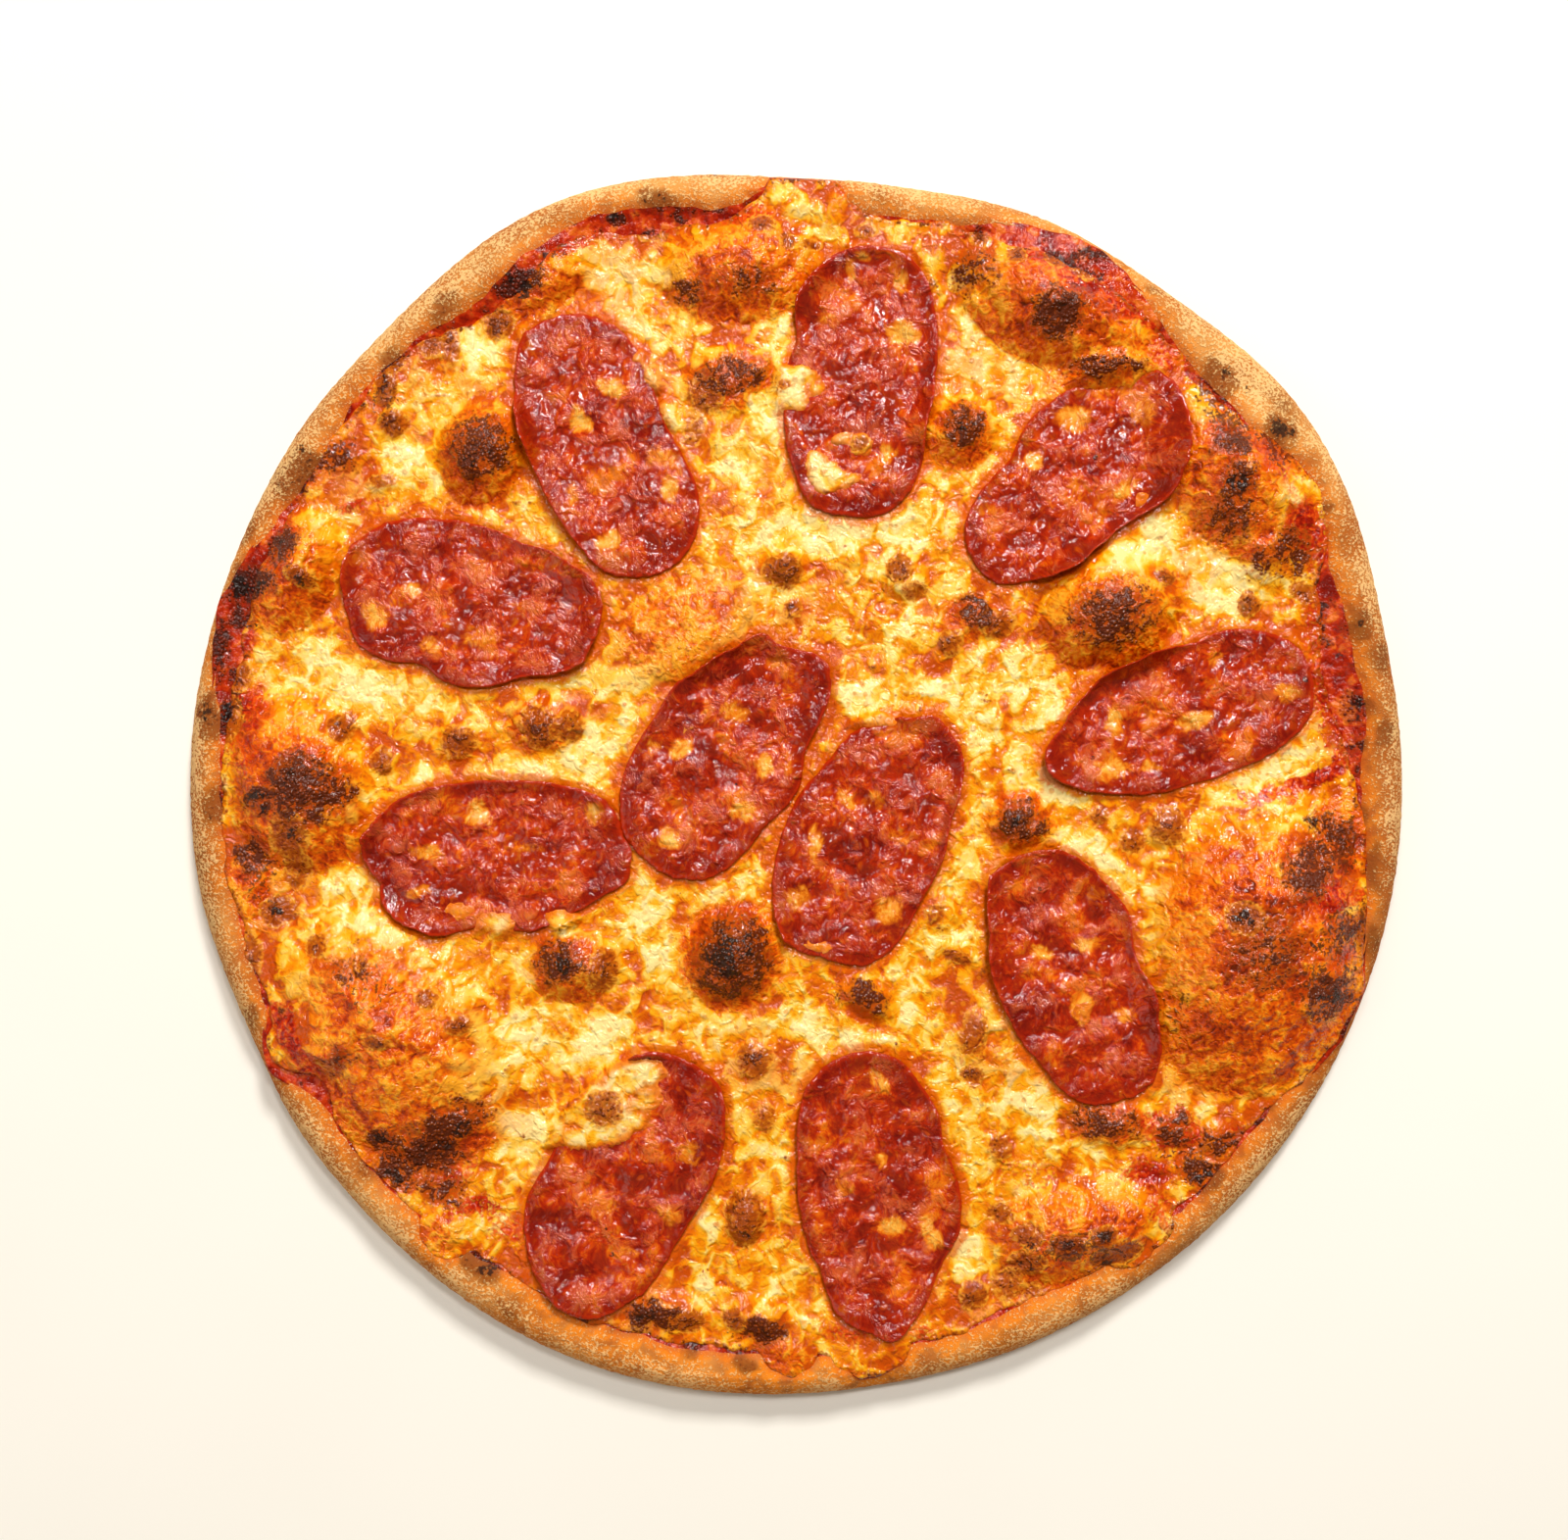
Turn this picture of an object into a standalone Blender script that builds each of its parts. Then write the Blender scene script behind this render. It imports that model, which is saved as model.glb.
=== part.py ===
"""A whole thin-crust pizza with long slices of spicy salami, uncut, as it leaves the oven.

The dough is a thin round base with a low floury rim. Tomato sauce lies in the hollow of the
dough, melted cheese covers the sauce, and eleven oval salami slices lie on the cheese.
Gas in the dough has lifted the cheese in domes, and small blisters stand up between them.
"""

import math

import bmesh
import bpy
from mathutils import Vector, noise
from mathutils.bvhtree import BVHTree

MM = 0.001

# Driving dimensions, in metres
PIZZA_RADIUS = 159.3 * MM
BASE_THICKNESS = 4.2 * MM
RIM_HEIGHT = 10.5 * MM
SAUCE_THICKNESS = 0.9 * MM
CHEESE_THICKNESS = 2.0 * MM
CHEESE_EDGE_THICKNESS = 0.9 * MM
SALAMI_THICKNESS = 1.6 * MM
GAP = 0.3 * MM

# Mesh fineness
RIM_SEGMENTS = 120
BED_SEGMENTS = 48
CHEESE_CELLS = 43
OUTLINE_POINTS = 180
SALAMI_SEGMENTS = 24
SALAMI_RINGS = (0.0, 0.4, 0.75, 1.0)

# The outline bulges where the dough was stretched: angle and half width in degrees, extra radius in mm
OUTLINE_BULGES = (
    (36, 26, 6.0),
    (64, 18, 3.0),
    (113, 26, 6.3),
    (140, 18, 1.2),
    (250, 34, 2.6),
    (203, 14, -1.6),
)

# Where the sauce ends on the rim, as a distance from the centre in mm, with bulges as above
SAUCE_REACH = 150.0
SAUCE_BULGES = (
    (30, 10, 6.5),
    (62, 18, 9.5),
    (90, 9, 7.5),
    (110, 17, 7.5),
    (134, 14, 3.0),
    (163, 17, 6.5),
    (208, 6, 6.0),
    (240, 8, -1.5),
    (295, 11, -2.0),
    (338, 15, 7.0),
    (0, 8, -2.0),
)

# Tongues of cheese that ran out over the rim: angle and half width in degrees, extra reach in mm
CHEESE_TONGUES = (
    (89, 4, 5.0),
    (208, 3, 3.0),
    (232, 3, 4.5),
    (270, 3, 5.5),
    (278, 3, 6.0),
    (307, 4, 6.0),
)

# Stretches where the cheese stops short and bare sauce shows: middle and half width in degrees, width in mm
BARE_SAUCE = (
    (12, 14, 9.0),
    (62, 17, 6.5),
    (105, 16, 5.5),
    (120, 12, 5.0),
    (163, 16, 6.5),
    (210, 9, 6.0),
)
SAUCE_LIP = 1.2 * MM

# Domes of gas in the dough, in mm: x, y, half length, half width, turn in degrees, height
DOUGH_DOMES = (
    (67.0, 126.0, 29, 17, -22, 10.0),
    (114.5, 82.0, 28, 18, -58, 9.0),
    (81.0, 46.0, 20, 16, 12, 9.5),
    (119.5, -41.0, 42, 30, 78, 14.0),
    (-106.0, -65.0, 40, 28, -48, 11.0),
    (-130.0, 1.0, 25, 20, -72, 10.0),
    (-131.0, 56.0, 18, 13, 62, 7.5),
    (-82.4, 87.0, 15, 12, 85, 8.5),
    (-15.0, 135.0, 23, 15, 3, 7.0),
    (-16.5, -45.0, 14, 13, 60, 8.5),
    (-58.0, -47.0, 13, 10, 0, 5.0),
    (42.8, 92.5, 11, 10, 0, 5.5),
    (-68.0, 133.0, 17, 10, 26, 6.5),
    (72.0, -116.0, 23, 14, 14, 7.0),
    (-28.0, 41.0, 24, 13, 26, 3.0),
)

# Blisters in the cheese itself, in mm, same columns
CHEESE_BLISTERS = (
    (58.0, -9.7, 9, 8, 0, 4.0),
    (-13.4, -113.0, 5, 8, 0, 3.6),
    (18.5, -55.7, 9, 5, -35, 3.2),
    (-3.2, 56.7, 6, 6, 0, 3.0),
    (28.0, 53.7, 6, 6, 0, 3.0),
    (48.7, 43.0, 8, 5, -10, 2.4),
    (-88.0, 11.0, 6, 6, 0, 2.6),
    (-65.8, 15.3, 10, 8, 20, 2.8),
    (96.5, -11.0, 6, 6, 0, 2.4),
    (-10.9, -72.3, 6, 6, 0, 2.4),
    (-17.3, 106.0, 13, 9, 15, 2.6),
    (-34.0, -138.0, 10, 6, 0, 3.0),
    (-10.0, -139.0, 9, 6, 0, 3.0),
    (82.0, -88.0, 10, 8, 0, 2.6),
    (122.0, 57.0, 8, 8, 0, 3.0),
)

# Salami slices, in mm: x, y, half length, half width, turn in degrees, egg shape, bend, waist, edge lift
SALAMI = (
    (-49.0, 88.4, 35.4, 18.6, -69, 0.02, 0.00, 0.05, 1.8),
    (16.5, 104.3, 34.6, 19.4, 85, -0.04, -0.03, -0.04, 1.6),
    (73.5, 80.5, 35.0, 18.7, 45, 0.03, 0.04, 0.00, 2.0),
    (-85.0, 47.5, 33.6, 20.0, -11, -0.05, 0.06, -0.06, 2.4),
    (-18.6, 7.6, 34.0, 20.6, 63, 0.02, -0.03, -0.02, 2.6),
    (19.2, -13.6, 35.2, 20.2, 71, 0.00, 0.04, 0.00, 2.0),
    (99.6, 19.2, 35.4, 18.2, 17, 0.10, 0.00, -0.02, 2.6),
    (-79.6, -18.4, 34.6, 19.3, -3, 0.04, 0.06, -0.04, 2.2),
    (72.2, -51.1, 35.0, 18.5, -69, -0.02, -0.02, 0.02, 2.6),
    (-43.6, -104.0, 36.4, 20.8, 69, 0.04, -0.03, 0.00, 2.0),
    (21.1, -107.4, 37.6, 20.0, -84, -0.04, 0.00, -0.04, 2.0),
)
OVAL_FULLNESS = 0.86

# The dough rises this share of each dome's height; the cheese over it rises all of it
DOME_SHARE_IN_DOUGH = 0.45
RIM_START = 0.83
HOLLOW_DEPTH_AT_RIM = 2.6 * MM
RESTING_PATCH = 4.5 * MM
LUMP_HEIGHT = 0.7 * MM
LUMP_SIZE = 13 * MM
BED_RINGS = (0.0, 0.35, 0.57, 0.7, 0.79, 0.86, 0.91, 0.955, 1.01)

# Half of the dough's section before it is hollowed: share of the outline radius, height in metres.
# It runs from the middle of the top outwards and under. What stands inside the rim is cut away.
DOUGH_SECTION = (
    (0.0, 30 * MM),
    (0.85, 30 * MM),
    (0.89, 9.6 * MM),
    (0.915, 9.6 * MM),
    (0.945, 10.3 * MM),
    (0.965, 10.4 * MM),
    (0.981, 9.4 * MM),
    (0.992, 7.4 * MM),
    (1.0, 4.8 * MM),
    (0.997, 2.4 * MM),
    (0.986, 0.8 * MM),
    (0.962, 0.0),
    (0.0, 0.0),
)


def bump(angle, middle, half_width):
    """A smooth bump that is 1 at the middle angle and 0 beyond the half width, in degrees."""
    away = abs((angle - middle + 180) % 360 - 180) / half_width
    return math.cos(away * math.pi / 2) ** 2 if away < 1 else 0.0


def with_bulges(reach, angle, bulges):
    return reach + sum(extra * MM * bump(angle, middle, width) for middle, width, extra in bulges)


def outline_radius(angle):
    """Distance of the dough's edge from the centre, at an angle in degrees."""
    return with_bulges(PIZZA_RADIUS, angle, OUTLINE_BULGES)


def cheese_reach(angle):
    """Distance of the cheese's edge from the centre."""
    reach = with_bulges(SAUCE_REACH * MM, angle, SAUCE_BULGES) - SAUCE_LIP
    reach -= max(width * MM * bump(angle, middle, half) for middle, half, width in BARE_SAUCE)
    reach = with_bulges(reach, angle, CHEESE_TONGUES)
    return reach + 0.8 * MM * noise.noise(Vector((math.cos(math.radians(angle)) * 9, angle / 9, 4.0)))


def sauce_reach(angle):
    """Distance of the sauce's edge from the centre. The sauce always shows as a lip round the cheese."""
    reach = with_bulges(SAUCE_REACH * MM, angle, SAUCE_BULGES)
    reach = max(reach, cheese_reach(angle) + SAUCE_LIP)
    return min(reach, outline_radius(angle) - 2.2 * MM)


def dome(x, y, shape, sharpness=1.5):
    """Height of one dome above its foot at x, y."""
    cx, cy, half_length, half_width, turn, height = shape
    turn = math.radians(turn)
    dx = x - cx * MM
    dy = y - cy * MM
    along = (dx * math.cos(turn) + dy * math.sin(turn)) / (half_length * MM)
    across = (dy * math.cos(turn) - dx * math.sin(turn)) / (half_width * MM)
    left = 1 - along * along - across * across
    return height * MM * left**sharpness if left > 0 else 0.0


def domes(x, y):
    return sum(dome(x, y, shape) for shape in DOUGH_DOMES)


def smooth(value, low, high):
    """0 below low, 1 above high, smooth between."""
    t = min(1.0, max(0.0, (value - low) / (high - low)))
    return t * t * (3 - 2 * t)


def polar(x, y):
    """Distance from the centre and angle in degrees."""
    return math.hypot(x, y), math.degrees(math.atan2(y, x)) % 360


def level_ground(share):
    """Height of the dough under the sauce without its domes: flat, then rising on to the rim."""
    rise = RIM_HEIGHT - BASE_THICKNESS - HOLLOW_DEPTH_AT_RIM
    return BASE_THICKNESS + rise * smooth(share, RIM_START, 0.985)


def bed_height(x, y):
    """Height of the dough under the sauce."""
    r, angle = polar(x, y)
    share = r / outline_radius(angle)
    fade = 1 - smooth(share, 0.9, 1.0)
    return level_ground(share) + DOME_SHARE_IN_DOUGH * domes(x, y) * fade


def seat(x, y):
    """1 under a salami slice and 0 away from it."""
    most = 0.0
    for cx, cy, half_length, half_width, turn, *_ in SALAMI:
        around = dome(x, y, (cx, cy, half_length + 3, half_width + 3, turn, 1 / MM), 1.0)
        most = max(most, smooth(around, 0.0, 0.2))
    return most


def cheese_top(x, y):
    """Height of the melted cheese, with its domes, blisters and lumps."""
    r, angle = polar(x, y)
    body = level_ground(r / outline_radius(angle)) + 2 * GAP + SAUCE_THICKNESS
    inwards = smooth(cheese_reach(angle) - r, 0.0, 9 * MM)
    thickness = CHEESE_EDGE_THICKNESS + (CHEESE_THICKNESS - CHEESE_EDGE_THICKNESS) * inwards
    edge_fade = smooth(cheese_reach(angle) - r, -4 * MM, 10 * MM)
    lift = domes(x, y) * (0.5 + 0.5 * edge_fade)
    free = 1 - seat(x, y)
    blisters = sum(dome(x, y, shape, 1.2) for shape in CHEESE_BLISTERS)
    lumps = LUMP_HEIGHT * noise.noise(Vector((x, y, 0.0)) / LUMP_SIZE)
    return body + thickness + lift + free * inwards * (blisters + lumps)


def clear_scene():
    for obj in list(bpy.data.objects):
        bpy.data.objects.remove(obj, do_unlink=True)


def collection(name):
    made = bpy.data.collections.new(name)
    bpy.context.scene.collection.children.link(made)
    return made


def material(name, colour, roughness):
    """A plain Principled finish."""
    made = bpy.data.materials.new(name)
    made.use_nodes = True
    shader = made.node_tree.nodes["Principled BSDF"]
    shader.inputs["Base Color"].default_value = (*colour, 1.0)
    shader.inputs["Roughness"].default_value = roughness
    shader.inputs["Metallic"].default_value = 0.0
    return made


def object_from(mesh, name, group, finish=None):
    obj = bpy.data.objects.new(name, mesh)
    group.objects.link(obj)
    if finish:
        mesh.materials.clear()
        mesh.materials.append(finish)
    return obj


def evaluated_copy(obj, name, group):
    """A mesh object with the same shape and all modifiers applied. The old object is removed."""
    bpy.context.view_layer.update()
    graph = bpy.context.evaluated_depsgraph_get()
    mesh = bpy.data.meshes.new_from_object(obj.evaluated_get(graph))
    mesh.transform(obj.matrix_world)
    bpy.data.objects.remove(obj, do_unlink=True)
    mesh.name = name
    return object_from(mesh, name, group)


def turned(name, profile, steps, group):
    """A profile of (radius, height) points turned about the vertical axis."""
    mesh = bpy.data.meshes.new(name)
    points = [(radius, 0.0, height) for radius, height in profile]
    mesh.from_pydata(points, [(i, i + 1) for i in range(len(points) - 1)], [])
    obj = object_from(mesh, name, group)
    screw = obj.modifiers.new("turn", "SCREW")
    screw.axis = "Z"
    screw.steps = steps
    screw.render_steps = steps
    screw.use_merge_vertices = True
    screw.merge_threshold = 0.01 * MM
    return evaluated_copy(obj, name, group)


def slab_on(name, height, thickness, group, steps=BED_SEGMENTS):
    """A closed slab whose lower face follows height(x, y). It reaches past the outline."""
    profile = [(share, 0.0) for share in reversed(BED_RINGS)]
    sheet = turned(name, profile, steps, group)
    form = bmesh.new()
    form.from_mesh(sheet.data)
    for vertex in form.verts:
        x, y, _ = vertex.co
        reach = outline_radius(polar(x, y)[1])
        vertex.co.x = x * reach
        vertex.co.y = y * reach
        vertex.co.z = height(vertex.co.x, vertex.co.y)
    bmesh.ops.triangulate(form, faces=form.faces[:], quad_method="FIXED")
    made = bmesh.ops.extrude_face_region(form, geom=form.faces[:])
    upper = [item for item in made["geom"] if isinstance(item, bmesh.types.BMVert)]
    bmesh.ops.translate(form, verts=upper, vec=(0, 0, thickness))
    bmesh.ops.recalc_face_normals(form, faces=form.faces)
    form.to_mesh(sheet.data)
    form.free()
    return sheet


def prism(name, reach, group):
    """A tall upright prism whose outline is reach(angle)."""
    outline = bpy.data.curves.new(name, "CURVE")
    outline.dimensions = "2D"
    outline.fill_mode = "BOTH"
    outline.extrude = 60 * MM
    line = outline.splines.new("POLY")
    line.points.add(OUTLINE_POINTS - 1)
    for index, point in enumerate(line.points):
        angle = 360 * index / OUTLINE_POINTS
        turn = math.radians(angle)
        point.co = (reach(angle) * math.cos(turn), reach(angle) * math.sin(turn), 0, 1)
    line.use_cyclic_u = True
    solid = evaluated_copy(object_from(outline, name, group), name, group)
    form = bmesh.new()
    form.from_mesh(solid.data)
    bmesh.ops.remove_doubles(form, verts=form.verts, dist=0.01 * MM)
    bmesh.ops.recalc_face_normals(form, faces=form.faces)
    form.to_mesh(solid.data)
    form.free()
    return solid


def cut(target, tool, operation):
    """Joins or cuts the target with a tool, and applies it."""
    modifier = target.modifiers.new(operation.lower(), "BOOLEAN")
    modifier.operation = operation
    modifier.object = tool
    modifier.solver = "EXACT"
    name = target.name
    group = target.users_collection[0]
    target.name = name + "_before"
    return evaluated_copy(target, name, group)


def make_dough(group, tools, finish):
    """The turned base with its low rim, hollowed for the sauce and cheese."""
    dough = turned("dough", DOUGH_SECTION, RIM_SEGMENTS, group)
    for vertex in dough.data.vertices:
        share = math.hypot(vertex.co.x, vertex.co.y)
        angle = polar(vertex.co.x, vertex.co.y)[1]
        reach = outline_radius(angle)
        x = vertex.co.x * reach
        y = vertex.co.y * reach
        z = vertex.co.z
        upper = smooth(z, 4 * MM, 9 * MM)
        swell = 0.9 * MM * noise.noise(Vector((x, y, 2 * MM)) / (24 * MM))
        z += upper * (DOME_SHARE_IN_DOUGH * domes(x, y) + swell)
        vertex.co = (x, y, z)
    hollow = slab_on("hollow", bed_height, 60 * MM, tools)
    hollow = cut(hollow, prism("hollow_outline", lambda angle: sauce_reach(angle) + GAP, tools), "INTERSECT")
    dough = cut(dough, hollow, "DIFFERENCE")
    dough.data.materials.append(finish)
    return dough


def make_sauce(group, tools, finish):
    """A thin layer that fills the bottom of the hollow and shows round the cheese."""
    sauce = slab_on("sauce", lambda x, y: bed_height(x, y) + GAP, SAUCE_THICKNESS, group)
    sauce = cut(sauce, prism("sauce_outline", sauce_reach, tools), "INTERSECT")
    sauce.data.materials.append(finish)
    return sauce


def make_cheese(group, tools, finish):
    """The melted cheese: an even grid drawn to the pizza's outline and lifted into domes and blisters."""
    bpy.ops.mesh.primitive_grid_add(x_subdivisions=CHEESE_CELLS, y_subdivisions=CHEESE_CELLS, size=2)
    sheet = bpy.context.object
    for holder in list(sheet.users_collection):
        holder.objects.unlink(sheet)
    group.objects.link(sheet)
    sheet.name = "cheese"
    form = bmesh.new()
    form.from_mesh(sheet.data)
    for vertex in form.verts:
        u, v, _ = vertex.co
        x = u * math.sqrt(1 - v * v / 2)
        y = v * math.sqrt(1 - u * u / 2)
        reach = outline_radius(polar(x, y)[1])
        vertex.co = (x * reach, y * reach, cheese_top(x * reach, y * reach))
    made = bmesh.ops.extrude_face_region(form, geom=form.faces[:])
    lower = [item for item in made["geom"] if isinstance(item, bmesh.types.BMVert)]
    for vertex in lower:
        vertex.co.z = 0.0
    bmesh.ops.recalc_face_normals(form, faces=form.faces)
    form.to_mesh(sheet.data)
    form.free()
    cheese = cut(sheet, prism("cheese_outline", cheese_reach, tools), "INTERSECT")
    depth = 40 * MM
    under = slab_on(
        "under_cheese",
        lambda x, y: bed_height(x, y) + 2 * GAP + SAUCE_THICKNESS - depth,
        depth,
        tools,
    )
    cheese = cut(cheese, under, "DIFFERENCE")
    cheese.data.materials.append(finish)
    return cheese


def salami_point(slice_row, share, angle):
    """A point of a slice's full oval in the plane, at a share of the way to its edge. Angle in radians."""
    x, y, half_length, half_width, turn, egg, bend, waist, _ = slice_row
    turn = math.radians(turn)
    cosine = math.cos(angle)
    sine = math.sin(angle)
    along = share * math.copysign(abs(cosine) ** OVAL_FULLNESS, cosine)
    across = share * math.copysign(abs(sine) ** OVAL_FULLNESS, sine)
    across *= (1 + egg * along) * (1 - waist * math.exp(-((along / 0.4) ** 2)))
    across_mm = across * half_width + bend * half_length * (along * along - 0.4)
    along_mm = along * half_length
    return (
        (x + along_mm * math.cos(turn) - across_mm * math.sin(turn)) * MM,
        (y + along_mm * math.sin(turn) + across_mm * math.cos(turn)) * MM,
    )


def resting_height(tree, x, y):
    """Highest point of the cheese in a small patch round x, y, so that a flat facet clears it."""
    highest = 0.0
    for step in range(9):
        turn = step * math.pi / 4
        spread = RESTING_PATCH if step < 8 else 0.0
        start = Vector((x + spread * math.cos(turn), y + spread * math.sin(turn), 80 * MM))
        hit = tree.ray_cast(start, Vector((0, 0, -1)))[0]
        if hit:
            highest = max(highest, hit.z)
    return highest


def make_salami(index, slice_row, tree, group, finish):
    """One slice, laid on the cheese with its edge lifted a little by the heat."""
    name = f"salami_{index:02d}"
    profile = [(share, 0.0) for share in reversed(SALAMI_RINGS)]
    disc = turned(name, profile, SALAMI_SEGMENTS, group)
    edge_lift = slice_row[-1] * MM
    for vertex in disc.data.vertices:
        share = math.hypot(vertex.co.x, vertex.co.y)
        angle = math.atan2(vertex.co.y, vertex.co.x)
        x, y = salami_point(slice_row, share, angle)
        ripple = 0.5 + 0.5 * math.sin(3 * angle + index * 1.7)
        z = resting_height(tree, x, y) + GAP + edge_lift * (0.35 + 0.65 * ripple) * share**5
        vertex.co = (x, y, z)
    disc.data.update()
    if disc.data.polygons[0].normal.z < 0:
        disc.data.flip_normals()
    thick = disc.modifiers.new("thickness", "SOLIDIFY")
    thick.thickness = SALAMI_THICKNESS
    thick.offset = 1.0
    disc.data.materials.append(finish)
    return disc


def main():
    clear_scene()
    pizza = collection("salami_pizza")
    tools = collection("cutters")
    make_dough(pizza, tools, material("baked_dough", (0.72, 0.47, 0.25), 0.8))
    make_sauce(pizza, tools, material("tomato_sauce", (0.55, 0.07, 0.02), 0.35))
    cheese = make_cheese(pizza, tools, material("melted_cheese", (0.9, 0.62, 0.2), 0.4))
    tree = BVHTree.FromPolygons(
        [vertex.co.copy() for vertex in cheese.data.vertices],
        [tuple(face.vertices) for face in cheese.data.polygons],
    )
    cured = material("salami", (0.5, 0.06, 0.03), 0.3)
    for index, row in enumerate(SALAMI):
        make_salami(index + 1, row, tree, pizza, cured)
    for tool in tools.objects:
        tool.hide_render = True
        tool.display_type = "WIRE"


main()
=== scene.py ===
import math

import bpy
import numpy as np
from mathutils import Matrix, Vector


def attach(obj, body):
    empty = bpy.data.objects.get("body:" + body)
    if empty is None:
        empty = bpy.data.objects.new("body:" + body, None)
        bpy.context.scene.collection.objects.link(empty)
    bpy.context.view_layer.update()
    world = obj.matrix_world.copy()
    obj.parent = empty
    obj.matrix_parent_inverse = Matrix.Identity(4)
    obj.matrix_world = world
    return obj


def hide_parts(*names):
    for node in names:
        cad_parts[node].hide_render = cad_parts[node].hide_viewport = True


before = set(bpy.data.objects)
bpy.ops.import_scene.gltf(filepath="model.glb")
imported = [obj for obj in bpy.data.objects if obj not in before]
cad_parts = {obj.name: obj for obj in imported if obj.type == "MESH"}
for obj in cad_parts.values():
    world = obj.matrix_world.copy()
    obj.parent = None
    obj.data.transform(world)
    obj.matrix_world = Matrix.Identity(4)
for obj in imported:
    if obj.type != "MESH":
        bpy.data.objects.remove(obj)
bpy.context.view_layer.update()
mm = 0.001
print("frame loaded:", len(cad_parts), "solids")


# Small tools for fields over the pizza

def smooth(value, low, high):
    t = np.clip((value - low) / (high - low), 0.0, 1.0)
    return t * t * (3 - 2 * t)


def bump(angle, middle, halfWidth):
    away = np.abs((angle - middle + 180) % 360 - 180) / halfWidth
    return np.where(away < 1, np.cos(np.minimum(away, 1) * math.pi / 2) ** 2, 0.0)


def latticeAngle(ix, iy, seed):
    mixed = (ix * 374761393 + iy * 668265263 + seed * 974711) & 0xFFFFFFFF
    mixed = ((mixed ^ (mixed >> 13)) * 1274126177) & 0xFFFFFFFF
    return ((mixed ^ (mixed >> 16)) & 0xFFFF) * (2 * math.pi / 65536)


def softNoise(x, y, size, seed=0):
    # smooth lumps about `size` mm apart, from about -1 to 1
    u = x / size
    v = y / size
    iu = np.floor(u).astype(np.int64)
    iv = np.floor(v).astype(np.int64)
    fu = u - iu
    fv = v - iv
    wu = fu * fu * fu * (fu * (fu * 6 - 15) + 10)
    wv = fv * fv * fv * (fv * (fv * 6 - 15) + 10)
    total = 0.0
    for du in (0, 1):
        for dv in (0, 1):
            a = latticeAngle(iu + du, iv + dv, seed)
            slope = np.cos(a) * (fu - du) + np.sin(a) * (fv - dv)
            total = total + slope * (wu if du else 1 - wu) * (wv if dv else 1 - wv)
    return total * 1.5


def fractal(x, y, size, layers=3, seed=0):
    return sum(softNoise(x, y, size / 2 ** k, seed + 17 * k) * 0.5 ** k for k in range(layers))


def spots(x, y, rows, sharp=1.5, ragged=0.0, most=False):
    # rows: x, y, half length, half width, turn, height; ragged bends the outlines by that many mm
    if ragged:
        x, y = x + ragged * softNoise(x, y, 4.5, 71), y + ragged * softNoise(x, y, 4.5, 72)
    total = np.zeros_like(x)
    for cx, cy, halfLength, halfWidth, turn, height in rows:
        reach = max(halfLength, halfWidth)
        near = np.flatnonzero((np.abs(x - cx) < reach) & (np.abs(y - cy) < reach))
        c, s = math.cos(math.radians(turn)), math.sin(math.radians(turn))
        dx, dy = x[near] - cx, y[near] - cy
        left = 1 - ((dx * c + dy * s) / halfLength) ** 2 - ((dy * c - dx * s) / halfWidth) ** 2
        raised = height * np.clip(left, 0, None) ** sharp
        total[near] = np.maximum(total[near], raised) if most else total[near] + raised
    return total


def lines(x, y, rows, ragged=0.0):
    # rows: (half width, height, ((x, y), (x, y), ...)); rounded ribs along the points
    if ragged:
        x, y = x + ragged * softNoise(x, y, 4.0, 73), y + ragged * softNoise(x, y, 4.0, 74)
    best = np.zeros_like(x)
    for halfWidth, height, path in rows:
        away = np.full_like(x, 1e9)
        for (ax, ay), (bx, by) in zip(path[:-1], path[1:]):
            long = math.hypot(bx - ax, by - ay)
            t = np.clip(((x - ax) * (bx - ax) + (y - ay) * (by - ay)) / long ** 2, 0, 1)
            away = np.minimum(away, np.hypot(x - ax - t * (bx - ax), y - ay - t * (by - ay)))
        best = np.maximum(best, height * np.clip(1 - (away / halfWidth) ** 2, 0, None))
    return best


def wider(rows, factor, more=0.0):
    # the same rows of spots, each larger
    return [(x, y, factor * a + more, factor * b + more, turn, tall) for x, y, a, b, turn, tall in rows]


def scatter(count, reach, small, large, seed, strength=(0.5, 1.0)):
    # random round spots inside a circle
    rng = np.random.default_rng(seed)
    r = reach * np.sqrt(rng.random(count))
    a = rng.random(count) * 2 * math.pi
    size = small + (large - small) * rng.random(count) ** 2
    stretch = 0.75 + 0.25 * rng.random(count)
    tall = strength[0] + (strength[1] - strength[0]) * rng.random(count)
    turn = rng.random(count) * 180
    return list(zip(r * np.cos(a), r * np.sin(a), size, size * stretch, turn, tall))


# The pizza's form, the same values as the solids

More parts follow.
